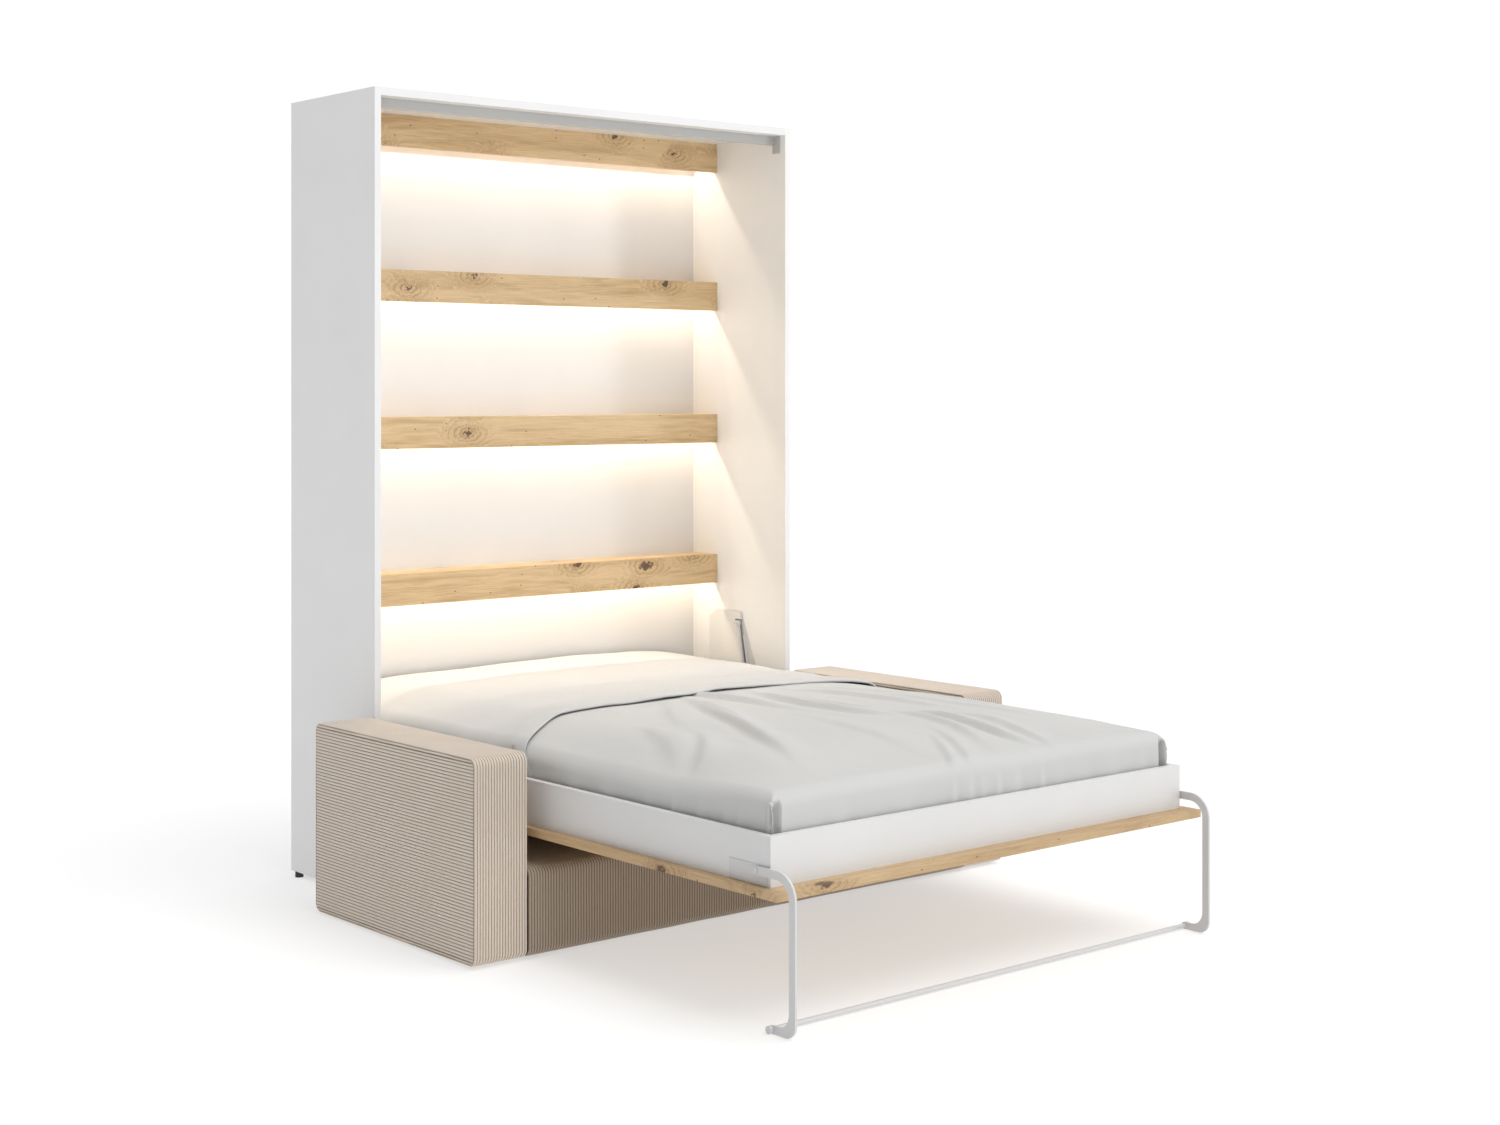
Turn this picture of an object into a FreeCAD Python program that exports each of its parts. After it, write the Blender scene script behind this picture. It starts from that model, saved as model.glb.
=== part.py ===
import FreeCAD, Part
import math
import os

# Vertical wall bed with a sofa in front, modelled with the bed let down.
# Millimetres. Working frame: X across, Y towards the wall with the cabinet's front edge at
# y = 0, Z up from the floor. On export everything moves along Y so that the origin is the
# centre of the whole object's footprint.

V = FreeCAD.Vector
X_AXIS = V(1, 0, 0)
Y_AXIS = V(0, 1, 0)
Z_AXIS = V(0, 0, 1)

# ---- Driving sizes ---------------------------------------------------------------------

# Mattress and bedding
mattress_width = 1400.0       # nominal width of the mattress that the bed takes
mattress_length = 2000.0      # nominal length of the mattress that the bed takes
mattress_height = 164.0       # thickness of the mattress
mattress_squeeze = 12.0       # how far the tucked bedding presses the mattress in
mattress_round = 30.0         # radius of the mattress's upright corners
mattress_gap = 2.0            # play between the nominal mattress and each rail
duvet_thickness = 18.0        # thickness of the bedding on top of the mattress
duvet_side_thickness = 9.0    # thickness of the bedding down the sides
duvet_drop = 130.0            # how far the bedding reaches down the sides
duvet_head_edge = -100.0      # where the bedding ends towards the head
soft_gap = 0.4                # play round a soft piece

# Bed frame
rail_thickness = 18.0         # side rails and foot rail
rail_height = 113.0           # height of the rails
rail_underside = 316.0        # height of the rails' underside from the floor
head_rail_thickness = 14.0    # board at the head end
front_thickness = 20.0        # board that closes the cabinet's front
front_side_gap = 4.0          # gap between that board and each cabinet side
front_foot_lip = 48.0         # how far it passes the foot rail
front_head_inset = 16.0       # how far it stops short of the head rail's outer face
ledger_width = 20.0           # batten that carries the slats
ledger_height = 24.0
centre_rail_width = 40.0
slat_thickness = 8.0
slat_width = 53.0
slat_pairs = 14
slat_end_gap = 2.0            # slat end to side rail
slat_middle_gap = 3.0         # slat end to the bed's centre line
slat_end_margin = 40.0        # first and last slat from the foot and head rails

# Cabinet
side_thickness = 20.0
top_thickness = 22.0
cabinet_depth = 463.0
back_thickness = 3.0
side_gap = 30.0               # side rail to cabinet side, room for the lift fitting
floor_gap = 16.0              # underside of the sides from the floor
front_recess = 2.0            # closed front board behind the cabinet's front edge
front_top_gap = 4.0           # closed front board below the top panel
pivot_setback = 152.0         # bed pivot behind the cabinet's front edge
plinth_top = 140.0
plinth_thickness = 20.0
rear_rail_height = 100.0
rear_rail_thickness = 20.0
foot_radius = 12.0
foot_inset = 10.0             # levelling foot's centre from the side panel's outer face
foot_end_inset = 30.0         # levelling foot's centre from the panel's front and back edges
wall_hole_radius = 4.0
wall_hole_spacing = 1200.0
wall_rail_height = 76.0
wall_rail_thickness = 20.0

# Stop rail and stop plates under the top panel
stop_plate_thickness = 5.0
stop_plate_front = 24.0
stop_plate_depth = 32.0
stop_plate_height = 55.0
stop_rail_front = 48.0
stop_rail_thickness = 16.0
stop_rail_height = 28.0

# Lit beams
beam_count = 4
beam_height = 94.0
beam_depth = 124.0
beam_board = 16.0
lowest_beam_underside = 776.0
beam_trim = (0.0, 11.0, -5.0, 0.0)   # lift of each beam from an even spacing, lowest first
led_width = 16.0
led_height = 8.0
led_setback = 62.0            # centre of the light profile behind the beam's front face
diffuser_height = 2.0
led_end_gap = 3.0

# Lift fitting
lift_plate_thickness = 3.0
lift_cover_depth = 12.0
lift_cover_wall = 2.0
lift_cover_back = 362.0       # outline of the cover: its back edge
lift_cover_top = 689.0
lift_cover_top_front = 209.0
lift_cover_chamfer_y = 34.0
lift_cover_chamfer_z = 24.0
lift_cover_bottom = 500.0
lift_cover_lean = 0.22        # forward run of the cover's front edge for each unit down
pivot_pin_radius = 6.0
pin_clearance = 0.05          # radial play of every shaft in its hole
lever_plate_thickness = 4.0
lever_plate_margin = 18.0     # metal round the pivot and the gas spring's stud
spring_anchor_back = 65.0     # upper spring pivot behind and above the bed pivot
spring_anchor_up = 206.0
spring_foot_back = 28.0       # lower spring pivot behind and above the bed pivot
spring_foot_up = 14.0
spring_radius = 9.0
spring_body_length = 150.0
spring_rod_radius = 4.0
spring_rod_inside = 60.0      # rod's hidden end, measured from the upper pivot
spring_eye_radius = 9.0
spring_stud_radius = 4.0
spring_face_gap = 0.5         # lever plate to the spring's eye
spring_slot_play = 5.0
lift_screw_radius = 4.0
lift_screw_head = 1.6

# Leg bow
leg_bar_thickness = 6.0
leg_bar_width = 20.0
leg_pivot_from_foot = 40.0    # pivot behind the foot rail's outer face
leg_pivot_up = 34.0           # pivot above the rails' underside
leg_front_reach = 90.0        # front of the leg past the foot rail
leg_bend_radius = 60.0        # outer radius of the upper bend
leg_hook_radius = 31.0        # outer radius of the lower bend
leg_hook_inner_radius = 36.0
crossbar_setback = 78.0       # crossbar's centre behind the leg's front edge
crossbar_radius = 6.0
end_cap_radius = 9.0
end_cap_length = 9.0
leg_pin_radius = 4.0
leg_pin_head_radius = 7.0
leg_pin_head = 2.0
leg_pin_play = 0.4            # leg to the pin's head
leg_face_gap = 1.2            # leg to its bracket plate, over the screw heads
leg_plate_thickness = 2.0
leg_plate_length = 128.0
leg_plate_height = 45.0
leg_plate_foot_inset = 10.0
leg_plate_edge = 1.0          # plate's lower edge above the rail's underside
leg_screw_radius = 3.0
leg_screw_head = 0.7

# Sofa
arm_thickness = 165.0
arm_height = 517.0
arm_front = -752.0
arm_back = 18.0
arm_round = 14.0
arm_side_gap = 15.0           # arm to the cabinet side
seat_top = 229.0
seat_round = 10.0
glide_radius = 15.0
glide_height = 6.0
glide_inset = 60.0

# ---- Derived sizes ---------------------------------------------------------------------

rail_outer = mattress_width / 2 + mattress_gap + rail_thickness
rail_inner = rail_outer - rail_thickness
rail_top = rail_underside + rail_height
side_inner = rail_outer + side_gap
side_outer = side_inner + side_thickness
front_half_width = side_inner - front_side_gap
front_underside = rail_underside - front_thickness

pivot_y = pivot_setback
pivot_z = pivot_y + front_underside - front_recess
head_outer = cabinet_depth - back_thickness - 4.0
head_inner = head_outer - head_rail_thickness
foot_inner = head_inner - mattress_length - mattress_gap
foot_outer = foot_inner - rail_thickness
front_foot_edge = foot_outer - front_foot_lip

top_underside = pivot_z + (pivot_y - front_foot_edge) + front_top_gap
cabinet_height = top_underside + top_thickness
back_inner = cabinet_depth - back_thickness

slat_top = rail_underside + ledger_height + slat_thickness
mattress_bottom = slat_top + soft_gap
mattress_top = mattress_bottom + mattress_height
duvet_top = mattress_top + soft_gap + duvet_thickness

beam_front = back_inner - beam_depth
highest_beam_underside = top_underside - beam_height
beam_pitch = (highest_beam_underside - lowest_beam_underside) / (beam_count - 1)
beam_undersides = [lowest_beam_underside + n * beam_pitch + beam_trim[n] for n in range(beam_count)]

leg_pivot_y = foot_outer + leg_pivot_from_foot
leg_pivot_z = rail_underside + leg_pivot_up
leg_front = foot_outer - leg_front_reach
leg_inner_face = rail_outer + leg_plate_thickness + leg_face_gap
leg_outer_face = leg_inner_face + leg_bar_thickness
crossbar_y = leg_front + crossbar_setback
crossbar_z = end_cap_radius

spring_top_y = pivot_y + spring_anchor_back
spring_top_z = pivot_z + spring_anchor_up
spring_foot_y = pivot_y + spring_foot_back
spring_foot_z = pivot_z + spring_foot_up
spring_length = math.hypot(spring_top_y - spring_foot_y, spring_top_z - spring_foot_z)
spring_lean = math.degrees(math.atan2(spring_top_y - spring_foot_y, spring_top_z - spring_foot_z))
# With the bed closed, the lower spring pivot has turned a quarter about the bed pivot.
spring_closed_run = spring_anchor_back - spring_foot_up
spring_closed_drop = spring_anchor_up + spring_foot_back
spring_closed_lean = math.degrees(math.atan2(spring_closed_run, spring_closed_drop))
spring_closed_length = math.hypot(spring_closed_run, spring_closed_drop)
lever_face = rail_outer + lever_plate_thickness
spring_x_inner = lever_face + spring_face_gap
spring_x = spring_x_inner + spring_radius
lift_plate_face = side_inner - lift_plate_thickness
lift_cover_face = side_inner - lift_cover_depth

arm_inner = side_outer + arm_side_gap
arm_outer = arm_inner + arm_thickness
origin_y = (leg_front + cabinet_depth) / 2


# ---- Helpers ---------------------------------------------------------------------------

def box(x0, x1, y0, y1, z0, z1):
    """Block between two corners."""
    return Part.makeBox(x1 - x0, y1 - y0, z1 - z0, V(x0, y0, z0))


def rod_x(y, z, radius, x0, x1):
    """Round bar along X."""
    return Part.makeCylinder(radius, x1 - x0, V(x0, y, z), X_AXIS)


def rod_y(x, z, radius, y0, y1):
    """Round bar along Y."""
    return Part.makeCylinder(radius, y1 - y0, V(x, y0, z), Y_AXIS)


def rod_z(x, y, radius, z0, z1):
    """Round bar along Z."""
    return Part.makeCylinder(radius, z1 - z0, V(x, y, z0), Z_AXIS)


def plate(points, x0, x1):
    """Flat plate of the given (y, z) outline between two x planes."""
    corners = [V(x0, y, z) for y, z in points]
    face = Part.Face(Part.makePolygon(corners + corners[:1]))
    return face.extrude(V(x1 - x0, 0, 0))


def line(a, b):
    """Straight edge between two points."""
    return Part.LineSegment(a, b).toShape()


def arc(a, middle, b):
    """Circular edge through three points."""
    return Part.Arc(a, middle, b).toShape()


def mirrored(shape):
    """The same piece on the left side."""
    return shape.mirror(V(0, 0, 0), X_AXIS)


def group(shapes):
    """Several separate solids kept in one node."""
    return Part.makeCompound(shapes)


def export(node, shape):
    """Write one node, moved to the object's own origin."""
    moved = shape.copy()
    moved.translate(V(0, -origin_y, 0))
    moved.exportStep("parts/" + node + ".step")


def export_pair(node, shape):
    """Write a right-hand piece and its mirror image."""
    export(node + "_right", shape)
    export(node + "_left", mirrored(shape))


# ---- Cabinet ---------------------------------------------------------------------------

def wall_holes(shape, y0, y1, z):
    """Cut the two wall-fixing holes through a board that lies against the wall."""
    for x in (-wall_hole_spacing / 2, wall_hole_spacing / 2):
        shape = shape.cut(rod_y(x, z, wall_hole_radius, y0 - 1, y1 + 1))
    return shape


def build_cabinet():
    """Carcass boards, rails and levelling feet."""
    export_pair("side_panel", box(side_inner, side_outer, 0, cabinet_depth, floor_gap, cabinet_height))
    export("top_panel", box(-side_inner, side_inner, 0, cabinet_depth, top_underside, cabinet_height))

    wall_hole_z = top_underside - wall_rail_height / 2
    back = box(-side_inner, side_inner, back_inner, cabinet_depth, floor_gap, top_underside)
    export("back_panel", wall_holes(back, back_inner, cabinet_depth, wall_hole_z))
    rail_y0 = back_inner - wall_rail_thickness
    wall_rail = box(-side_inner, side_inner, rail_y0, back_inner,
                    top_underside - wall_rail_height, top_underside - beam_board)
    export("wall_rail", wall_holes(wall_rail, rail_y0, back_inner, wall_hole_z))

    export("plinth_rail", box(-side_inner, side_inner, 0, plinth_thickness, floor_gap, plinth_top))
    export("rear_rail", box(-side_inner, side_inner, back_inner - rear_rail_thickness, back_inner,
                            floor_gap, floor_gap + rear_rail_height))

    feet = []
    for x in (-side_outer + foot_inset, side_outer - foot_inset):
        for y in (foot_end_inset, cabinet_depth - foot_end_inset):
            feet.append(rod_z(x, y, foot_radius, 0, floor_gap))
    export("levelling_feet", group(feet))


def build_stops():
    """Rail and plates under the top panel that the closed bed meets."""
    plate_face = side_inner - stop_plate_thickness
    export_pair("stop_plate", box(plate_face, side_inner, stop_plate_front,
                                  stop_plate_front + stop_plate_depth,
                                  top_underside - stop_plate_height, top_underside))
    export("stop_rail", box(-plate_face, plate_face, stop_rail_front,
                            stop_rail_front + stop_rail_thickness,
                            top_underside - stop_rail_height, top_underside))


def build_beams():
    """Four oak beams, each a face board and a shelf board with a light profile beneath."""
    diffusers = []
    for n, underside in enumerate(beam_undersides):
        name = str(beam_count - n)
        top = underside + beam_height
        export("beam_face_" + name, box(-side_inner, side_inner, beam_front, beam_front + beam_board,
                                        underside, top))
        export("beam_shelf_" + name, box(-side_inner, side_inner, beam_front + beam_board, back_inner,
                                         top - beam_board, top))
        y0 = beam_front + led_setback - led_width / 2
        x1 = side_inner - led_end_gap
        z1 = top - beam_board
        z0 = z1 - led_height
        export("led_profile_" + name, box(-x1, x1, y0, y0 + led_width, z0, z1))
        diffusers.append(box(-x1, x1, y0 + 1, y0 + led_width - 1, z0 - diffuser_height, z0))
    export("led_diffusers", group(diffusers))


# ---- Lift fitting ----------------------------------------------------------------------

def lift_outline(inset, bottom):
    """Outline of the lift cover in (y, z), drawn in by a margin."""
    back = lift_cover_back - inset
    top = lift_cover_top - inset
    front_at_bottom = lift_cover_top_front - lift_cover_lean * (lift_cover_top - bottom) + inset
    return [
        (back, bottom),
        (back, top - lift_cover_chamfer_z),
        (back - lift_cover_chamfer_y, top),
        (lift_cover_top_front + inset, top),
        (front_at_bottom, bottom),
    ]


def spring_slot():
    """Wedge that the gas spring sweeps, opened by some play."""
    reach = spring_top_z - lift_cover_bottom + 2 * spring_radius
    half = spring_radius + spring_slot_play
    rear = math.radians(spring_lean)
    fore = math.radians(spring_closed_lean)
    return plate([
        (spring_top_y + half, spring_top_z + half),
        (spring_top_y + half - reach * math.tan(rear), spring_top_z - reach),
        (spring_top_y - half - reach * math.tan(fore), spring_top_z - reach),
        (spring_top_y - half, spring_top_z + half),
    ], lift_cover_face - 1, lift_plate_face)


def along_spring(shape):
    """Turn a piece built straight down from the upper spring pivot to the spring's lean."""
    turned = shape.copy()
    turned.rotate(V(spring_x, spring_top_y, spring_top_z), X_AXIS, -spring_lean)
    return turned


def build_lift():
    """Steel plate, white cover, pins and gas spring on each side of the cabinet."""
    plate_bottom = pivot_z - 2.5 * lever_plate_margin
    tail_front = pivot_y - lever_plate_margin
    tail_back = pivot_y + lever_plate_margin
    outline = lift_outline(lift_cover_wall + 1, lift_cover_bottom)
    outline[-1] = (tail_front, lift_cover_bottom)
    outline += [(tail_front, plate_bottom), (tail_back, plate_bottom), (tail_back, lift_cover_bottom)]
    outline.insert(0, outline.pop())
    export_pair("lift_plate", plate(outline, lift_plate_face, side_inner))

    shell = plate(lift_outline(0, lift_cover_bottom), lift_cover_face, lift_plate_face)
    hollow = plate(lift_outline(lift_cover_wall, lift_cover_bottom - 1), lift_cover_face + lift_cover_wall,
                   lift_plate_face + 1)
    export_pair("lift_cover", shell.cut(hollow).cut(spring_slot()))

    pivot_pin = rod_x(pivot_y, pivot_z, pivot_pin_radius, rail_inner + rail_thickness / 2, lift_plate_face)
    anchor = rod_x(spring_top_y, spring_top_z, spring_stud_radius, spring_x_inner, lift_plate_face)
    export("bed_pivot_pins", group([pivot_pin, mirrored(pivot_pin)]))
    export("spring_studs", group([anchor, mirrored(anchor)]))

    screws = []
    for y, z in ((lift_cover_back - 20, lift_cover_bottom + 20),
                 (lift_cover_back - 20, lift_cover_top - 50),
                 (lift_cover_back - 110, lift_cover_bottom + 20)):
        head = rod_x(y, z, lift_screw_radius, lift_plate_face - lift_screw_head, lift_plate_face)
        screws += [head, mirrored(head)]
    export("lift_screws", group(screws))

    x0 = spring_x - spring_radius
    x1 = spring_x + spring_radius
    eye_hole = rod_x(spring_top_y, spring_top_z, spring_stud_radius + pin_clearance, x0 - 1, x1 + 1)
    eye = rod_x(spring_top_y, spring_top_z, spring_eye_radius, x0, x1)
    body = rod_z(spring_x, spring_top_y, spring_radius, spring_top_z - spring_body_length, spring_top_z)
    bore = rod_z(spring_x, spring_top_y, spring_rod_radius + pin_clearance,
                 spring_top_z - spring_body_length - 1, spring_top_z - spring_rod_inside + 10)
    cylinder = body.fuse(eye).removeSplitter().cut(eye_hole).cut(bore)
    export_pair("spring_cylinder", along_spring(cylinder))

    rod = rod_z(spring_x, spring_top_y, spring_rod_radius, spring_top_z - spring_length,
                spring_top_z - spring_rod_inside)
    rod_eye = rod_x(spring_top_y, spring_top_z - spring_length, spring_eye_radius, x0, x1)
    export_pair("spring_rod", along_spring(rod.fuse(rod_eye)))


# ---- Bed -------------------------------------------------------------------------------

def build_bed_frame():
    """Rails, front board, slats and their bearers."""
    export_pair("side_rail", box(rail_inner, rail_outer, foot_inner, head_inner, rail_underside, rail_top))
    export("foot_rail", box(-rail_outer, rail_outer, foot_outer, foot_inner, rail_underside, rail_top))
    export("head_rail", box(-rail_outer, rail_outer, head_inner, head_outer, rail_underside, rail_top))
    export("front_board", box(-front_half_width, front_half_width, front_foot_edge,
                              head_outer - front_head_inset, front_underside, rail_underside))

    ledger = box(rail_inner - ledger_width, rail_inner, foot_inner, head_inner,
                 rail_underside, rail_underside + ledger_height)
    export_pair("slat_ledger", ledger)
    export("centre_rail", box(-centre_rail_width / 2, centre_rail_width / 2, foot_inner, head_inner,
                              rail_underside, rail_underside + ledger_height))

    slats = []
    first = foot_inner + slat_end_margin
    pitch = (head_inner - slat_end_margin - slat_width - first) / (slat_pairs - 1)
    for n in range(slat_pairs):
        y = first + n * pitch
        slat = box(slat_middle_gap, rail_inner - slat_end_gap, y, y + slat_width,
                   rail_underside + ledger_height, slat_top)
        slats += [slat, mirrored(slat)]
    export("slats", group(slats))


def build_lever_plates():
    """Steel plates on the side rails that turn on the cabinet's pivot pins."""
    low = rail_underside + 12
    high = spring_foot_z + lever_plate_margin
    fore = pivot_y - lever_plate_margin
    aft = spring_foot_y + lever_plate_margin
    lever = plate([(fore - 60, low), (aft + 90, low), (aft + 90, low + 60), (aft, high), (fore, high),
                   (fore - 60, low + 60)], rail_outer, lever_face)
    hole = rod_x(pivot_y, pivot_z, pivot_pin_radius + pin_clearance, rail_outer - 1, lever_face + 1)
    export_pair("lever_plate", lever.cut(hole))


def build_bedding():
    """Mattress and the bedding tucked over it, as plain solids."""
    half = mattress_width / 2 - mattress_squeeze
    y0 = foot_inner + mattress_squeeze
    y1 = head_inner - mattress_gap
    mattress = box(-half, half, y0, y1, mattress_bottom, mattress_top)
    upright = [e for e in mattress.Edges if abs(e.Vertexes[0].Z - e.Vertexes[1].Z) > mattress_height / 2]
    export("mattress", mattress.makeFillet(mattress_round, upright))

    outer = half + soft_gap + duvet_side_thickness
    foot = y0 - soft_gap - duvet_side_thickness
    skirt = box(-outer, outer, foot, duvet_head_edge, duvet_top - duvet_drop, duvet_top)
    edges = [e for e in skirt.Edges
             if abs(e.Vertexes[0].Z - e.Vertexes[1].Z) > duvet_drop / 2 and e.Vertexes[0].Y < foot + 1]
    skirt = skirt.makeFillet(mattress_round, edges)
    inside = box(-half - soft_gap, half + soft_gap, y0 - soft_gap, duvet_head_edge + 1,
                 duvet_top - duvet_drop - 1, mattress_top + soft_gap)
    edges = [e for e in inside.Edges
             if abs(e.Vertexes[0].Z - e.Vertexes[1].Z) > duvet_drop / 2 and e.Vertexes[0].Y < y0 + 1]
    export("duvet", skirt.cut(inside.makeFillet(mattress_round - duvet_side_thickness, edges)))


# ---- Leg bow ---------------------------------------------------------------------------

def leg_profile():
    """Closed outline of one leg in the YZ plane at the leg's inner face."""
    def p(y, z):
        return V(leg_inner_face, y, z)

    cos45 = math.cos(math.radians(45))
    half = leg_bar_width / 2
    top = leg_pivot_z + half
    low = leg_pivot_z - half
    back = leg_front + leg_bar_width
    bend_y = leg_front + leg_bend_radius
    bend_z = top - leg_bend_radius
    inner = leg_bend_radius - leg_bar_width
    hook_y = leg_front + leg_hook_radius
    hook_top = 2 * end_cap_radius
    inner_y = back + leg_hook_inner_radius
    inner_z = hook_top + leg_hook_inner_radius
    return Part.Wire([
        line(p(leg_pivot_y, top), p(bend_y, top)),
        arc(p(bend_y, top),
            p(bend_y - leg_bend_radius * cos45, bend_z + leg_bend_radius * cos45), p(leg_front, bend_z)),
        line(p(leg_front, bend_z), p(leg_front, leg_hook_radius)),
        arc(p(leg_front, leg_hook_radius),
            p(hook_y - leg_hook_radius * cos45, leg_hook_radius * (1 - cos45)), p(hook_y, 0)),
        line(p(hook_y, 0), p(crossbar_y, 0)),
        arc(p(crossbar_y, 0), p(crossbar_y + end_cap_radius, crossbar_z), p(crossbar_y, hook_top)),
        line(p(crossbar_y, hook_top), p(inner_y, hook_top)),
        arc(p(inner_y, hook_top),
            p(inner_y - leg_hook_inner_radius * cos45, inner_z - leg_hook_inner_radius * cos45),
            p(back, inner_z)),
        line(p(back, inner_z), p(back, bend_z)),
        arc(p(back, bend_z), p(bend_y - inner * cos45, bend_z + inner * cos45), p(bend_y, low)),
        line(p(bend_y, low), p(leg_pivot_y, low)),
        arc(p(leg_pivot_y, low), p(leg_pivot_y + half, leg_pivot_z), p(leg_pivot_y, top)),
    ])


def build_leg_bow():
    """Two flat-bar legs, the round bar that joins them, and their bracket plates."""
    leg = Part.Face(leg_profile()).extrude(V(leg_bar_thickness, 0, 0))
    hole = rod_x(leg_pivot_y, leg_pivot_z, leg_pin_radius + pin_clearance,
                 leg_inner_face - 1, leg_outer_face + 1)
    export_pair("leg", leg.cut(hole))
    export("leg_crossbar", rod_x(crossbar_y, crossbar_z, crossbar_radius, -leg_inner_face, leg_inner_face))
    cap = rod_x(crossbar_y, crossbar_z, end_cap_radius, leg_outer_face, leg_outer_face + end_cap_length)
    export("crossbar_caps", group([cap, mirrored(cap)]))

    plate_face = rail_outer + leg_plate_thickness
    y0 = foot_outer + leg_plate_foot_inset
    z0 = rail_underside + leg_plate_edge
    export_pair("leg_plate", box(rail_outer, plate_face, y0, y0 + leg_plate_length, z0, z0 + leg_plate_height))

    head_x = leg_outer_face + leg_pin_play
    shank = rod_x(leg_pivot_y, leg_pivot_z, leg_pin_radius, plate_face, head_x)
    head = rod_x(leg_pivot_y, leg_pivot_z, leg_pin_head_radius, head_x, head_x + leg_pin_head)
    pin = shank.fuse(head)
    export("leg_pins", group([pin, mirrored(pin)]))

    screws = []
    screw_z = z0 + 10
    for y in (y0 + leg_plate_length - 5, y0 + leg_plate_length - 25):
        screw = rod_x(y, screw_z, leg_screw_radius, plate_face, plate_face + leg_screw_head)
        screws += [screw, mirrored(screw)]
    export("leg_plate_screws", group(screws))


# ---- Sofa ------------------------------------------------------------------------------

def build_sofa():
    """Upholstered arms beside the cabinet, the seat base between them, and glides."""
    arm = box(arm_inner, arm_outer, arm_front, arm_back, glide_height, arm_height)
    export_pair("sofa_arm", arm.makeFillet(arm_round, arm.Edges))
    seat_half = arm_inner - soft_gap
    seat = box(-seat_half, seat_half, arm_front, -soft_gap, glide_height, seat_top)
    long_edges = [e for e in seat.Edges if abs(e.Vertexes[0].X - e.Vertexes[1].X) > seat_half]
    export("sofa_seat", seat.makeFillet(seat_round, long_edges))

    glides = []
    arm_middle = (arm_inner + arm_outer) / 2
    for x in (-arm_middle, -seat_half + glide_inset, 0, seat_half - glide_inset, arm_middle):
        for y in (arm_front + glide_inset, -glide_inset):
            glides.append(rod_z(x, y, glide_radius, 0, glide_height))
    export("sofa_glides", group(glides))


def main():
    """Build every node."""
    os.makedirs("parts", exist_ok=True)
    build_cabinet()
    build_stops()
    build_beams()
    build_lift()
    build_bed_frame()
    build_lever_plates()
    build_bedding()
    build_leg_bow()
    build_sofa()
    print("cabinet height", round(cabinet_height, 1), "width", 2 * side_outer, "origin y", origin_y)
    print("bed pivot y, z", pivot_y, pivot_z, "leg pivot y, z", leg_pivot_y, leg_pivot_z)
    print("spring lean", spring_lean, spring_closed_lean, "length", spring_length, spring_closed_length)


main()
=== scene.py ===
import logging
import math
from dataclasses import dataclass, field
from enum import Enum
from typing import Any, Sequence

import bmesh
import bpy
import numpy as np
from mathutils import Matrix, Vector


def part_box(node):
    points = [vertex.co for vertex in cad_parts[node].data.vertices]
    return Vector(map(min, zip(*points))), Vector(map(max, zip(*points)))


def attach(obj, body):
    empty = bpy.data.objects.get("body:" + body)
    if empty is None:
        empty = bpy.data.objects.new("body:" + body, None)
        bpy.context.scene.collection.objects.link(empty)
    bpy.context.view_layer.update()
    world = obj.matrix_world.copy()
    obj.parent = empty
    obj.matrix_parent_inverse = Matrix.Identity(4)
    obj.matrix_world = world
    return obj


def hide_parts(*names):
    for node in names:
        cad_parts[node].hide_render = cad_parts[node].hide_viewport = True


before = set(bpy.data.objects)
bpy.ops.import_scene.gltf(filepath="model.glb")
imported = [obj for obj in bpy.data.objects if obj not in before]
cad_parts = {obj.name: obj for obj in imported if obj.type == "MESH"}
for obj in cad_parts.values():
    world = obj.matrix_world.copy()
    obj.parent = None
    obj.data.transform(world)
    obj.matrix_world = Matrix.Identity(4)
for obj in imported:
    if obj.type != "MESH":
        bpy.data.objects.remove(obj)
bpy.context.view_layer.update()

LOG = logging.getLogger("wall_bed")
MM = 0.001
Grid = np.ndarray
Span = tuple[float, float]


# ---- Shader maths ----------------------------------------------------------------------

def srgb(red: int, green: int, blue: int) -> tuple[float, float, float, float]:
    """Turn an eight-bit display colour into the linear one that shaders take.

    Args:
        red: red from 0 to 255.
        green: green from 0 to 255.
        blue: blue from 0 to 255.

    Returns:
        The linear colour with an alpha of 1.
    """
    def linear(value: int) -> float:
        """Undo the display curve of one channel."""
        v = value / 255
        return v / 12.92 if v <= 0.04045 else ((v + 0.055) / 1.055) ** 2.4
    return linear(red), linear(green), linear(blue), 1.0


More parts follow.
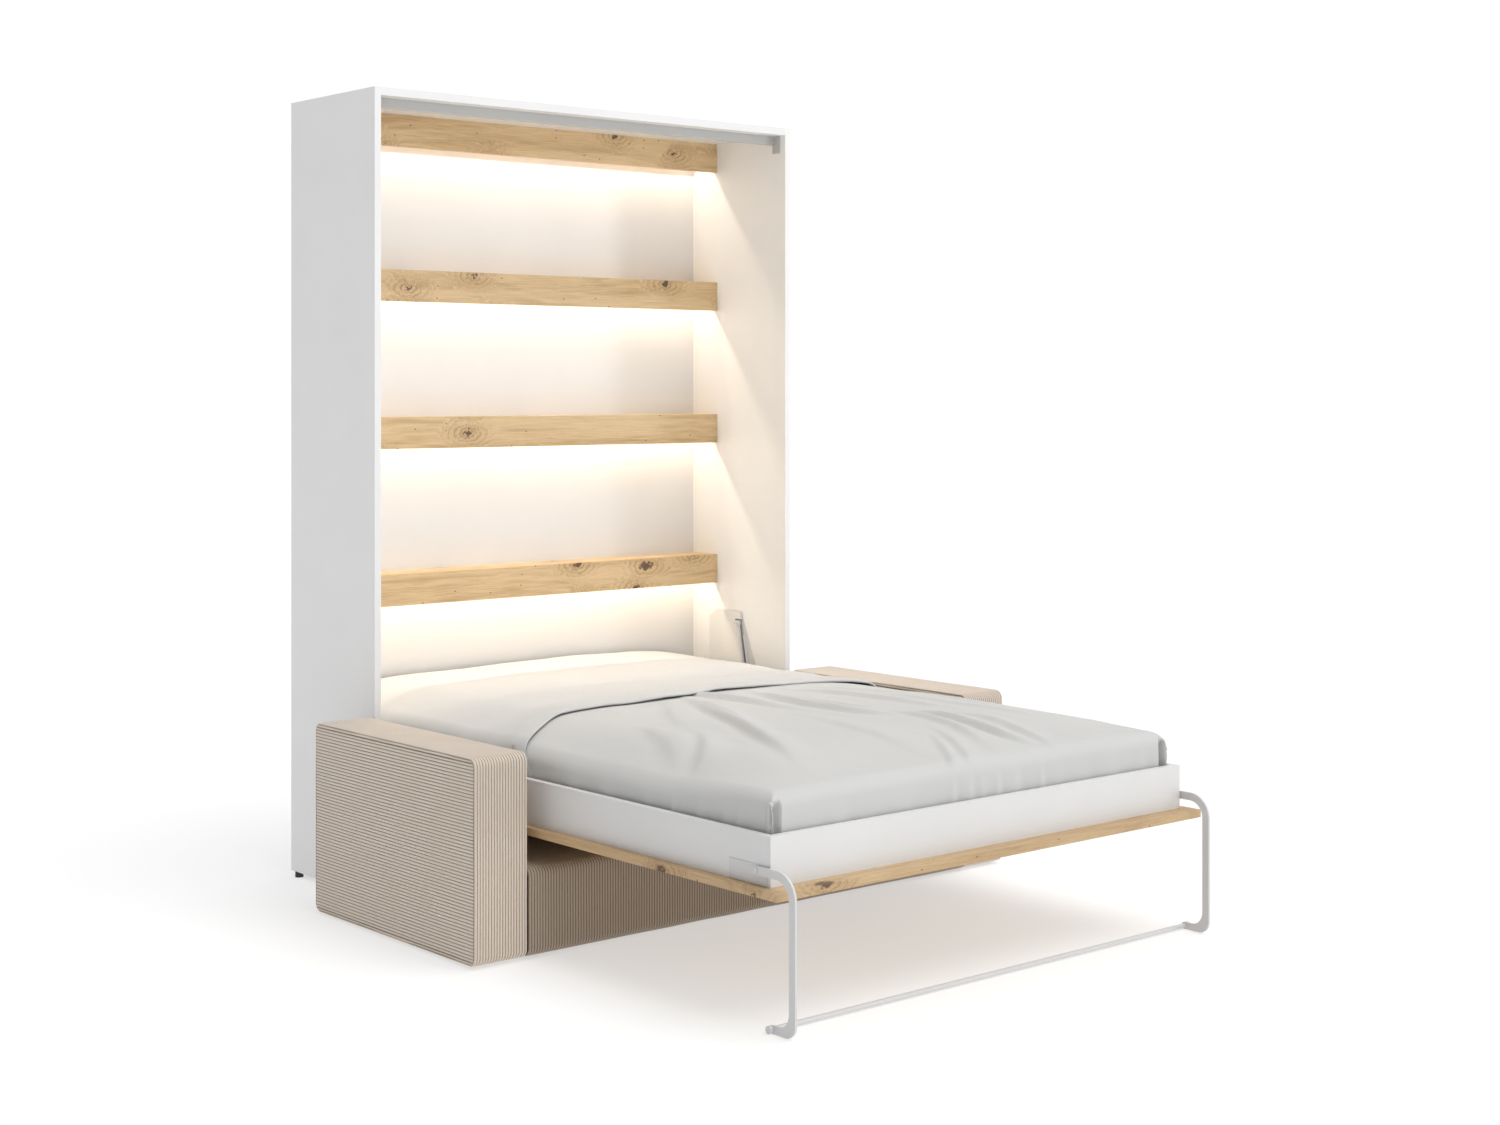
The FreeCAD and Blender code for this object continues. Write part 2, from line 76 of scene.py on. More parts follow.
class Wire:
    """One number-valued output socket, with arithmetic that adds Math nodes."""

    def __init__(self, maker: "NodeMaker", socket: Any) -> None:
        """Keep the socket and the maker that adds nodes beside it."""
        self.maker = maker
        self.socket = socket

    def _math(self, operation: str, *values: Any) -> "Wire":
        """Add one Math node.

        Args:
            operation: the node's operation.
            values: what goes into its sockets, in order.

        Returns:
            The node's result.
        """
        return self.maker.add("ShaderNodeMath", {"operation": operation}, dict(enumerate(values)))

    def __add__(self, other: Any) -> "Wire":
        """Sum of the two."""
        return self._math("ADD", self, other)

    __radd__ = __add__

    def __mul__(self, other: Any) -> "Wire":
        """Product of the two."""
        return self._math("MULTIPLY", self, other)

    __rmul__ = __mul__

    def __sub__(self, other: Any) -> "Wire":
        """This less the other."""
        return self._math("SUBTRACT", self, other)

    def __rsub__(self, other: Any) -> "Wire":
        """The other less this."""
        return self._math("SUBTRACT", other, self)

    def __pow__(self, other: Any) -> "Wire":
        """This to a power."""
        return self._math("POWER", self, other)

    def wave(self) -> "Wire":
        """Sine of this."""
        return self._math("SINE", self)

    def size(self) -> "Wire":
        """This without its sign."""
        return self._math("ABSOLUTE", self)

    def above(self, limit: Any) -> "Wire":
        """1 where this is above a limit, and 0 elsewhere."""
        return self._math("GREATER_THAN", self, limit)

    def smooth(self, low: float, high: float) -> "Wire":
        """Rise smoothly from 0 at low to 1 at high.

        Args:
            low: value that gives 0.
            high: value that gives 1.

        Returns:
            The smoothed step.
        """
        return self.maker.add("ShaderNodeMapRange", {"interpolation_type": "SMOOTHSTEP"},
                              {"Value": self, "From Min": low, "From Max": high})


class NodeMaker:
    """Builds the node tree of one material or world."""

    def __init__(self, owner: Any) -> None:
        """Start an empty node tree on its owner."""
        owner.use_nodes = True
        self.owner = owner
        self.tree = owner.node_tree
        self.tree.nodes.clear()

    def add(self, kind: str, settings: dict[str, Any] | None = None,
            inputs: dict[Any, Any] | None = None, output: Any = 0) -> Wire:
        """Add any node.

        Args:
            kind: the node's type.
            settings: its properties, set first; "stops" fills a colour ramp.
            inputs: socket name or number to a value or a wire.
            output: name or number of the socket to hand back.

        Returns:
            That output.
        """
        node = self.tree.nodes.new(kind)
        for key, value in (settings or {}).items():
            if key == "stops":
                ramp = node.color_ramp
                while len(ramp.elements) < len(value):
                    ramp.elements.new(1.0)
                for element, (place, colour) in zip(ramp.elements, value):
                    element.position = place
                    element.color = colour
            else:
                setattr(node, key, value)
        for key, value in (inputs or {}).items():
            socket = node.inputs[key]
            if isinstance(value, Wire):
                self.tree.links.new(value.socket, socket)
            else:
                socket.default_value = value
        return Wire(self, node.outputs[output] if len(node.outputs) else None)

    def place(self, scale: Sequence[float] = (1, 1, 1), turn: Sequence[float] = (0, 0, 0),
              shift: Sequence[float] = (0, 0, 0)) -> Wire:
        """Object coordinates in metres, scaled, turned and shifted."""
        coords = self.add("ShaderNodeTexCoord", output="Object")
        return self.add("ShaderNodeMapping", {}, {"Vector": coords, "Scale": scale,
                                                  "Rotation": turn, "Location": shift})

    def noise(self, vector: Wire, scale: float, detail: float = 3.0, roughness: float = 0.5,
              distortion: float = 0.0) -> Wire:
        """Noise from 0 to 1 at the given scale."""
        return self.add("ShaderNodeTexNoise", {}, {
            "Vector": vector, "Scale": scale, "Detail": detail, "Roughness": roughness,
            "Distortion": distortion})

    def mix(self, factor: Any, first: Any, second: Any) -> Wire:
        """Blend two colours by a factor."""
        return self.add("ShaderNodeMix", {"data_type": "RGBA"},
                        {"Factor": factor, 6: first, 7: second}, output=2)

    def bump(self, height: Wire, strength: float, distance: float) -> Wire:
        """Normal raised by a height field."""
        return self.add("ShaderNodeBump", {}, {"Height": height, "Strength": strength,
                                               "Distance": distance})

    def finish(self, inputs: dict[str, Any]) -> bpy.types.Material:
        """Close the tree with a Principled shader.

        Args:
            inputs: the shader's sockets.

        Returns:
            The material.
        """
        shader = self.add("ShaderNodeBsdfPrincipled", {}, inputs)
        self.add("ShaderNodeOutputMaterial", {}, {"Surface": shader})
        return self.owner


# ---- Finishes --------------------------------------------------------------------------

@dataclass(frozen=True)
class Coating:
    """A smooth painted, plated, laminated or moulded skin with a fine texture."""

    name: str
    colour: tuple[float, float, float, float]
    roughness: float = 0.4
    metallic: float = 0.0
    grain: float = 900.0
    relief: float = 0.05
    mottle: float = 0.03

    def material(self) -> bpy.types.Material:
        """Colour drifts a little over the piece and a fine stipple breaks the gloss."""
        n = NodeMaker(bpy.data.materials.new(self.name))
        coords = n.place()
        cloud = n.noise(coords, 6.0, 4.0)
        fine = n.noise(coords, self.grain, 2.0)
        shade = tuple(c * (1 - self.mottle * 2) for c in self.colour[:3]) + (1.0,)
        return n.finish({
            "Base Color": n.mix(cloud, shade, self.colour),
            "Roughness": self.roughness - 0.05 + 0.1 * fine,
            "Metallic": self.metallic,
            "Normal": n.bump(fine, self.relief, 0.0004),
        })


@dataclass(frozen=True)
class BrushedSteel:
    """Zinc-plated steel with a faint spangle."""

    name: str = "zinc_steel"
    colour: tuple[float, float, float, float] = (0.62, 0.63, 0.65, 1.0)

    def material(self) -> bpy.types.Material:
        """Spangle cells change the roughness and the tint a little."""
        n = NodeMaker(bpy.data.materials.new(self.name))
        coords = n.place()
        cells = n.add("ShaderNodeTexVoronoi", {}, {"Vector": coords, "Scale": 220.0})
        fine = n.noise(coords, 700.0, 3.0)
        return n.finish({
            "Base Color": n.mix(cells, (0.5, 0.51, 0.53, 1.0), self.colour),
            "Roughness": 0.28 + 0.2 * cells,
            "Metallic": 1.0,
            "Normal": n.bump(fine, 0.08, 0.0004),
        })


@dataclass(frozen=True)
class Oak:
    """Knotty oak: long fibre, waving figure, pores, ringed knots with cracked hearts, specks."""

    name: str = "oak"
    light: tuple[float, float, float, float] = srgb(234, 206, 162)
    middle: tuple[float, float, float, float] = srgb(219, 188, 142)
    dark: tuple[float, float, float, float] = srgb(182, 147, 101)
    heart: tuple[float, float, float, float] = srgb(84, 58, 36)
    shift: float = 0.0
    roughness: float = 0.5
    knots: float = 1.0
    side_margin: float = 0.0
    foot_margin: float = 0.0

    def grain(self, n: NodeMaker) -> tuple[Wire, Wire]:
        """Distances along and across the grain, which turns on a board's side margins.

        Args:
            n: the maker.

        Returns:
            Metres along the grain, and metres across it.
        """
        coords = n.place()
        x = n.add("ShaderNodeSeparateXYZ", {}, {"Vector": coords}, output="X")
        y = n.add("ShaderNodeSeparateXYZ", {}, {"Vector": coords}, output="Y")
        z = n.add("ShaderNodeSeparateXYZ", {}, {"Vector": coords}, output="Z")
        along, across = x, y + z
        if self.side_margin > 0:
            turned = x.size().above(self.side_margin) * y.above(self.foot_margin)
            along, across = along + turned * (y - x), across + turned * (x - y)
        return along + self.shift, across

    def vector(self, n: NodeMaker, x: Any, y: Any) -> Wire:
        """Vector of two values."""
        return n.add("ShaderNodeCombineXYZ", {}, {"X": x, "Y": y})

    def material(self) -> bpy.types.Material:
        """Knots sit in cells along the board, and the figure and its rings bend round them."""
        n = NodeMaker(bpy.data.materials.new(self.name))
        along, across = self.grain(n)
        rag = n.noise(self.vector(n, along * 60.0, across * 60.0), 1.0, 4.0, 0.65) - 0.5
        cell = self.vector(n, along * 4.2 + rag * 0.20, across * 8.0 + rag * 0.42)
        places = {"voronoi_dimensions": "2D"}
        inputs = {"Vector": cell, "Scale": 1.0, "Randomness": 1.0}
        away = n.add("ShaderNodeTexVoronoi", places, inputs)
        chance = n.add("ShaderNodeSeparateColor", {}, {"Color": n.add(
            "ShaderNodeTexVoronoi", places, inputs, output="Color")})
        chosen = chance.smooth(0.42, 0.70) * self.knots
        near = (1.0 - away.smooth(0.02, 0.48)) * chosen
        reach = 0.012 + 0.080 * chance ** 4.0
        heart = (1.0 - (away - reach).smooth(0.0, 0.05)) * chance.above(0.46) * self.knots
        specks_at = self.vector(n, along * 17.0, across * 26.0)
        speck = n.add("ShaderNodeTexVoronoi", places, {"Vector": specks_at, "Scale": 1.0})
        speck_chance = n.add("ShaderNodeSeparateColor", {}, {"Color": n.add(
            "ShaderNodeTexVoronoi", places, {"Vector": specks_at, "Scale": 1.0}, output="Color")})
        speck = (1.0 - speck.smooth(0.03, 0.075)) * speck_chance.above(0.80)
        drift = n.noise(self.vector(n, along * 1.6, across * 9.0), 1.0, 3.0)
        bend = drift * 0.9 + near * 1.3
        figure = (across * 210.0 + bend * 34.0).wave() * 0.5 + 0.5
        figure = figure * n.noise(self.vector(n, along * 3.0, across * 30.0), 1.0, 2.0).smooth(0.40, 0.68)
        rings = ((away * 70.0 + rag * 7.0).wave() * 0.5 + 0.5).smooth(0.45, 1.0) * near
        fibre = n.noise(self.vector(n, along * 9.0, across * 420.0 + near * 22.0), 1.0, 5.0, 0.7)
        pores = n.noise(self.vector(n, along * 34.0, across * 1300.0), 1.0, 3.0, 0.6).smooth(0.58, 0.72)
        broad = n.noise(self.vector(n, along * 1.1, across * 14.0), 1.0, 3.0)
        tone = fibre * 1.0 + broad * 0.55 - 0.275
        colour = n.add("ShaderNodeValToRGB", {"stops": (
            (0.24, self.dark), (0.46, self.middle), (0.72, self.light))}, {"Fac": tone})
        colour = n.mix(figure * 0.55, colour, self.dark)
        colour = n.mix(rings * 0.75, colour, srgb(140, 106, 70))
        colour = n.mix(near * 0.28, colour, self.dark)
        colour = n.mix(pores * 0.5, colour, srgb(158, 124, 84))
        mark = (heart + speck * 0.8).smooth(0.15, 0.9) * 0.88
        colour = n.mix(mark, colour, self.heart)
        height = fibre * 0.5 - pores * 0.5 - mark
        return n.finish({
            "Base Color": colour,
            "Roughness": self.roughness + 0.12 * pores,
            "Normal": n.bump(height, 0.25, 0.0006),
        })


@dataclass(frozen=True)
class Corduroy:
    """Wide-wale corduroy: pile on the ribs, and between them a dark colour that is partly the woven
    ground and partly painted shade in the grooves.
    """

    name: str = "corduroy"
    pile: tuple[float, float, float, float] = srgb(219, 206, 192)
    ground_and_groove_shade: tuple[float, float, float, float] = srgb(98, 84, 70)
    worn: tuple[float, float, float, float] = srgb(194, 179, 163)
    tip: tuple[float, float, float, float] = srgb(222, 211, 198)

    def material(self) -> bpy.types.Material:
        """The piece's own rib attribute, 1 on a crest, sets the depth of colour: low values take the dark
        colour, which is partly the woven ground and partly painted shade in the grooves and seams.
        """
        n = NodeMaker(bpy.data.materials.new(self.name))
        rib = n.add("ShaderNodeAttribute", {"attribute_name": "rib"}, {}, output="Fac")
        coords = n.place()
        crushed = n.noise(coords, 9.0, 4.0, 0.6)
        tuft = n.noise(coords, 650.0, 3.0, 0.7)
        height = rib.smooth(0.10, 0.85)
        # painted shade: the colour darkens from the pile to the dark colour as the rib attribute falls
        # into the grooves and seams
        colour = n.mix(height, self.ground_and_groove_shade, self.pile)
        colour = n.mix(crushed.smooth(0.35, 0.7) * 0.30, colour, self.worn)
        colour = n.mix(tuft.smooth(0.3, 0.75) * 0.35, colour, self.tip)
        return n.finish({
            "Base Color": colour,
            "Roughness": 0.86 + 0.1 * tuft,
            "Sheen Weight": 0.35,
            "Sheen Roughness": 0.45,
            "Specular IOR Level": 0.25,
            "Normal": n.bump(tuft, 0.35, 0.0012),
        })


@dataclass(frozen=True)
class Cloth:
    """Plain woven cotton whose weave follows the cloth's own flat coordinates."""

    name: str
    colour: tuple[float, float, float, float]
    threads: float = 1400.0
    relief: float = 0.12

    def material(self) -> bpy.types.Material:
        """Warp and weft are two crossed waves, with slubs and a soft drift of tone."""
        n = NodeMaker(bpy.data.materials.new(self.name))
        uv = n.add("ShaderNodeUVMap", {"uv_map": "cloth"})
        threads = {"Vector": uv, "Scale": self.threads / math.tau}
        warp = n.add("ShaderNodeTexWave", {"bands_direction": "X"}, threads, output="Fac")
        weft = n.add("ShaderNodeTexWave", {"bands_direction": "Y"}, threads, output="Fac")
        coords = n.place()
        drift = n.noise(coords, 5.0, 3.0)
        slub = n.noise(coords, 260.0, 3.0)
        shade = tuple(c * 0.94 for c in self.colour[:3]) + (1.0,)
        return n.finish({
            "Base Color": n.mix(drift * 0.6 + slub * 0.3, shade, self.colour),
            "Roughness": 0.82 + 0.1 * slub,
            "Sheen Weight": 0.15,
            "Specular IOR Level": 0.3,
            "Normal": n.bump(warp * weft + slub * 0.4, self.relief, 0.0004),
        })


@dataclass(frozen=True)
class FloorPaint:
    """Matt white floor that gives off a little light of its own."""

    name: str = "floor"

    def material(self) -> bpy.types.Material:
        """One even white."""
        n = NodeMaker(bpy.data.materials.new(self.name))
        return n.finish({
            "Base Color": (0.52, 0.52, 0.52, 1.0),
            "Roughness": 1.0,
            "Specular IOR Level": 0.0,
            "Emission Color": (1.0, 1.0, 1.0, 1.0),
            "Emission Strength": 0.50,
        })


@dataclass(frozen=True)
class Glow:
    """Opal light strip that is lit."""

    name: str = "light_diffuser"
    colour: tuple[float, float, float, float] = (1.0, 0.88, 0.70, 1.0)
    strength: float = 6.0

    def material(self) -> bpy.types.Material:
        """The strip is a touch dimmer between its diodes."""
        n = NodeMaker(bpy.data.materials.new(self.name))
        diodes = n.noise(n.place(scale=(60.0, 1.0, 1.0)), 1.0, 1.0)
        return n.finish({
            "Base Color": n.mix(diodes, (0.95, 0.92, 0.86, 1.0), (1.0, 0.97, 0.92, 1.0)),
            "Roughness": 0.5,
            "Emission Color": self.colour,
            "Emission Strength": self.strength,
        })


LAMINATE_GRAIN = 1300.0


class Finish(Enum):
    """Every finish on the object."""

    WHITE_LAMINATE = Coating("white_laminate", (0.86, 0.86, 0.86, 1.0), 0.45,
                             grain=LAMINATE_GRAIN, relief=0.06)
    # painted light: a lighter copy of the white laminate for the right side panel, whose inner face gets
    # little light
    LIT_RIGHT_LAMINATE = Coating("right_laminate_painted_light", (0.90, 0.90, 0.89, 1.0), 0.42,
                             grain=LAMINATE_GRAIN, relief=0.06)
    # painted shade: a darker copy of the white laminate for the back panel, which the strip lamps light
    # strongly
    SHADED_BACK_LAMINATE = Coating("back_laminate_painted_shade", (0.77, 0.77, 0.77, 1.0), 0.30,
                            grain=LAMINATE_GRAIN, relief=0.04)
    # painted shade: a darker copy of the white laminate for the bed's rails, which sit low in shade
    SHADED_BED_LAMINATE = Coating("bed_laminate_painted_shade", (0.745, 0.745, 0.745, 1.0), 0.42,
                           grain=LAMINATE_GRAIN, relief=0.06)
    # painted shade: the stop rail and blocks under the top panel are made grey for the shade they sit in
    SHADED_STOP_LAMINATE = Coating("grey_laminate", (0.50, 0.50, 0.49, 1.0), 0.45,
                            grain=LAMINATE_GRAIN, relief=0.06)
    WHITE_STEEL = Coating("white_steel", (0.66, 0.66, 0.665, 1.0), 0.34, grain=1800.0, relief=0.12)
    WHITE_PLASTIC = Coating("white_plastic", (0.78, 0.77, 0.75, 1.0), 0.38, grain=1500.0, relief=0.1)
    SPRING_WHITE = Coating("spring_white", (0.74, 0.72, 0.70, 1.0), 0.3)
    BLACK_PLASTIC = Coating("black_plastic", (0.02, 0.02, 0.02, 1.0), 0.5)
    ALUMINIUM = Coating("aluminium", (0.75, 0.75, 0.77, 1.0), 0.35, 1.0)
    BEECH = Oak("beech", srgb(226, 200, 160), srgb(212, 184, 142), srgb(190, 160, 118),
                srgb(170, 138, 98), 3.1, knots=0.0)
    ZINC = BrushedSteel()
    CORDUROY = Corduroy()
    # painted shade: a darker copy of the arm corduroy for the seat, which sits in the shade under the bed
    SHADED_SEAT_CORDUROY = Corduroy("corduroy_seat_painted_shade", srgb(166, 151, 135), srgb(70, 58, 47),
                             srgb(143, 128, 112), srgb(180, 167, 152))
    BEDDING = Cloth("bedding", (0.60, 0.60, 0.59, 1.0))
    MATTRESS = Cloth("mattress_cover", (0.70, 0.70, 0.69, 1.0), 900.0, 0.3)
    GLOW = Glow()


MATERIALS: dict[str, bpy.types.Material] = {}


def material_of(finish: Any) -> bpy.types.Material:
    """Material of a finish, made the first time it is asked for.

    Args:
        finish: a member of Finish, or a finish of its own.

    Returns:
        The material.
    """
    made = finish.value if isinstance(finish, Finish) else finish
    if made.name not in MATERIALS:
        MATERIALS[made.name] = made.material()
    return MATERIALS[made.name]


def dress(node: str, finish: Any) -> None:
    """Give one CAD node its finish.

    Args:
        node: the node's name.
        finish: a member of Finish, or a finish of its own.
    """
    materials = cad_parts[node].data.materials
    materials.clear()
    materials.append(material_of(finish))


def nodes_named(*starts: str) -> list[str]:
    """CAD nodes whose names begin with any of the given words, in order."""
    return sorted(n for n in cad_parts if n.startswith(starts))


# ---- Surfaces --------------------------------------------------------------------------

def blend_step(value: Grid, low: float, high: float) -> Grid:
    """Rise from 0 at low to 1 at high as 3t^2 - 2t^3."""
    t = np.clip((value - low) / (high - low), 0.0, 1.0)
    return t * t * (3.0 - 2.0 * t)


def cloud(x: Grid, y: Grid, size: float, seed: int) -> Grid:
    """Smooth noise: random heights on a lattice of the given size, eased between.

    Args:
        x: first coordinate.
        y: second coordinate.
        size: lattice spacing.
        seed: seed of the random heights.

    Returns:
        Values from -1 to 1.
    """
    table = np.random.default_rng(seed).uniform(-1.0, 1.0, (64, 64))
    gx, gy = x / size + 1000.0, y / size + 1000.0
    ix, iy = np.floor(gx).astype(int), np.floor(gy).astype(int)
    fx, fy = blend_step(gx - ix, 0.0, 1.0), blend_step(gy - iy, 0.0, 1.0)
    ix, iy, jx, jy = ix % 64, iy % 64, (ix + 1) % 64, (iy + 1) % 64
    low = table[ix, iy] * (1 - fx) + table[jx, iy] * fx
    high = table[ix, jy] * (1 - fx) + table[jx, jy] * fx
    return low * (1 - fy) + high * fy


def wale(across: Grid, pitch: float) -> Grid:
    """Height of a corduroy rib, 0 in the groove and 1 on the crest: |sin(pi t / pitch)|^0.7."""
    return np.abs(np.sin(np.pi * across / pitch)) ** 0.7


class Shell:
    """Gathers grids and caps into one mesh."""

    def __init__(self) -> None:
        """Start with nothing."""
        self.points: list[Grid] = []
        self.faces: list[list[int]] = []
        self.ribs: list[Grid] = []
        self.flat: list[Grid] = []
        self.count = 0

    def grid(self, x: Grid, y: Grid, z: Grid, rib: Grid | None = None, wrap: bool = False,
             flip: bool = False, flat: tuple[Grid, Grid] | None = None) -> Grid:
        """Add a grid of points and its four-sided faces.

        Args:
            x: x of each point, rows by columns.
            y: y of each point.
            z: z of each point.
            rib: rib height of each point, or None.
            wrap: True joins the last row to the first.
            flip: True turns the faces over.
            flat: the cloth's flat coordinates, or None for the row and column.

        Returns:
            Index of each point.
        """
        x, y, z = np.broadcast_arrays(x, y, z)
        rows, columns = x.shape
        index = self.count + np.arange(rows * columns).reshape(rows, columns)
        self.points.append(np.stack([x, y, z], -1).reshape(-1, 3))
        self.ribs.append((np.ones_like(x) if rib is None else np.broadcast_to(rib, x.shape)).ravel())
        u, v = (x, y) if flat is None else np.broadcast_arrays(*flat)
        self.flat.append(np.stack([u, v], -1).reshape(-1, 2))
        self.count += rows * columns
        a = index if wrap else index[:-1]
        b = np.roll(index, -1, 0) if wrap else index[1:]
        quads = np.stack([a[:, :-1], b[:, :-1], b[:, 1:], a[:, 1:]], -1).reshape(-1, 4)
        self.faces += (quads[:, ::-1] if flip else quads).tolist()
        return index

    def cap(self, loop: Sequence[int], flip: bool = False) -> None:
        """Close a loop of points with one face."""
        self.faces.append([int(i) for i in (reversed(loop) if flip else loop)])

    def piece(self, name: str, finish: Any, merge: float = 0.0) -> bpy.types.Object:
        """Make the object.

        Args:
            name: the piece's name.
            finish: its finish.
            merge: distance under which points are joined, or 0.

        Returns:
            The object, in the scene, smooth shaded, with its normals facing out.
        """
        mesh = bpy.data.meshes.new(name)
        mesh.from_pydata(np.concatenate(self.points), [], self.faces)
        rib = mesh.attributes.new("rib", "FLOAT", "POINT")
        rib.data.foreach_set("value", np.concatenate(self.ribs).astype(np.float32))
        corner = np.empty(len(mesh.loops), np.int32)
        mesh.loops.foreach_get("vertex_index", corner)
        cloth = mesh.uv_layers.new(name="cloth")
        cloth.data.foreach_set("uv", np.concatenate(self.flat)[corner].astype(np.float32).ravel())
        mesh.materials.append(material_of(finish))
        join_and_face_out(mesh, merge)
        mesh.shade_smooth()
        made = bpy.data.objects.new(name, mesh)
        bpy.context.scene.collection.objects.link(made)
        return made


def join_and_face_out(mesh: bpy.types.Mesh, merge: float) -> None:
    """Join points closer than a distance and turn all faces outwards.

    Args:
        mesh: the mesh, changed in place.
        merge: the distance, or 0 to join none.
    """
    work = bmesh.new()
    work.from_mesh(mesh)
    if merge > 0:
        bmesh.ops.remove_doubles(work, verts=work.verts, dist=merge)
        bmesh.ops.dissolve_degenerate(work, dist=merge * 0.5, edges=work.edges)
    bmesh.ops.recalc_face_normals(work, faces=work.faces)
    work.to_mesh(mesh)
    work.free()


def rounded_loop(y0: float, y1: float, z0: float, z1: float, radius: float,
                 straight: int, bend: int) -> tuple[Grid, Grid, Grid, Grid]:
    """Rounded rectangle in the YZ plane: four straight sides joined by quarter circles.

    Args:
        y0: front.
        y1: back.
        z0: bottom.
        z1: top.
        radius: corner radius.
        straight: points along each side.
        bend: points round each corner.

    Returns:
        y, z and the outward normal's y and z, one row for each point, from the lower front
        corner up the front and round.
    """
    corners = ((y0 + radius, z1 - radius, 180.0), (y1 - radius, z1 - radius, 90.0),
               (y1 - radius, z0 + radius, 0.0), (y0 + radius, z0 + radius, -90.0))
    ys, zs, ny, nz = [], [], [], []
    for k, (cy, cz, start) in enumerate(corners):
        angle = np.radians(start - np.linspace(0.0, 90.0, bend))
        py, pz = cy + radius * np.cos(angle), cz + radius * np.sin(angle)
        ys.append(py), zs.append(pz), ny.append(np.cos(angle)), nz.append(np.sin(angle))
        fy, fz, following = corners[(k + 1) % 4]
        turn = math.radians(following)
        t = np.linspace(0.0, 1.0, straight + 2)[1:-1]
        ys.append(py[-1] + t * (fy + radius * math.cos(turn) - py[-1]))
        zs.append(pz[-1] + t * (fz + radius * math.sin(turn) - pz[-1]))
        ny.append(np.full(straight, math.cos(turn)))
        nz.append(np.full(straight, math.sin(turn)))
    return tuple(np.concatenate(part)[:, None] for part in (ys, zs, ny, nz))


# ---- Sub-assemblies --------------------------------------------------------------------

@dataclass
class Cabinet:
    """White carcass with its feet, rails and stops."""

    def build(self) -> None:
        """Dress every board and fitting."""
        for node in nodes_named("side_panel", "top_panel", "plinth", "rear_rail", "wall_rail"):
            dress(node, Finish.WHITE_LAMINATE)
        # the right side panel takes the lighter copy of the laminate, painted light
        dress("side_panel_right", Finish.LIT_RIGHT_LAMINATE)
        # the back panel takes the darker copy of the laminate, painted shade
        dress("back_panel", Finish.SHADED_BACK_LAMINATE)
        # the stops take the grey laminate, painted shade for their place under the top panel
        for node in nodes_named("stop_"):
            dress(node, Finish.SHADED_STOP_LAMINATE)
        dress("levelling_feet", Finish.BLACK_PLASTIC)
        LOG.info("cabinet dressed")


@dataclass
class LitBeams:
    """Four oak beams with warm light strips under them."""

    power: float = 2.15
    colour: tuple[float, float, float] = (1.0, 0.88, 0.72)
    strip_width: float = 0.012
    below: float = 0.004
    oak_shift: float = 1.73
    lamps: list[bpy.types.Object] = field(default_factory=list)

    def build(self) -> None:
        """Dress the beams and hang a lamp under each light strip."""
        for number in range(1, 5):
            oak = Oak(name=f"oak_{number}", shift=self.oak_shift * number)
            dress(f"beam_face_{number}", oak)
            dress(f"beam_shelf_{number}", oak)
            dress(f"led_profile_{number}", Finish.ALUMINIUM)
            self.lamp(number)
        dress("led_diffusers", Finish.GLOW)
        LOG.info("beams dressed, %d lamps", len(self.lamps))

    def lamp(self, number: int) -> None:
        """Hang an area light just under one strip.

        Args:
            number: the beam's number, 1 at the top.
        """
        low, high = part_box(f"led_profile_{number}")
        light = bpy.data.lights.new(f"strip_{number}", "AREA")
        light.shape = "RECTANGLE"
        light.size = high.x - low.x
        light.size_y = self.strip_width
        light.energy = self.power
        light.color = self.colour
        made = bpy.data.objects.new(light.name, light)
        made.location = (0.0, (low.y + high.y) / 2, low.z - self.below)
        bpy.context.scene.collection.objects.link(made)
        self.lamps.append(made)


@dataclass
class LiftFitting:
    """Plates, covers, pins and gas springs at both sides of the cabinet."""

    def build(self) -> None:
        """Dress the fitting."""
        for node in nodes_named("lift_cover"):
            dress(node, Finish.WHITE_PLASTIC)
        for node in nodes_named("lift_plate"):
            dress(node, Finish.WHITE_STEEL)
        for node in nodes_named("lever_plate", "lift_screws", "bed_pivot_pins",
                                "spring_studs"):
            dress(node, Finish.ZINC)
        for node in nodes_named("spring_cylinder", "spring_rod"):
            dress(node, Finish.SPRING_WHITE)
        LOG.info("lift fitting dressed")


@dataclass
class BedFrame:
    """Rails, front board, slats and the folding leg bow."""

    oak_shift: float = 9.4

    def build(self) -> None:
        """Dress the frame."""
        for node in nodes_named("side_rail", "foot_rail", "head_rail"):
            # the rails take the darker copy of the laminate, painted shade
            dress(node, Finish.SHADED_BED_LAMINATE)
        low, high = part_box("side_rail_left")
        out = max(abs(low.x), abs(high.x))
        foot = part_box("foot_rail")[0].y
        # painted shade: the front board's oak is a darker copy of the beam oak, for its narrow shaded
        # margins
        dress("front_board", Oak(
            name="oak_front_painted_shade", light=srgb(208, 181, 141), middle=srgb(193, 163, 123),
            dark=srgb(160, 129, 90), shift=self.oak_shift, side_margin=out, foot_margin=foot))
        for node in nodes_named("slat", "centre_rail"):
            dress(node, Finish.BEECH)
        for node in nodes_named("leg_", "crossbar_caps"):
            dress(node, Finish.WHITE_STEEL)
        LOG.info("bed frame dressed")


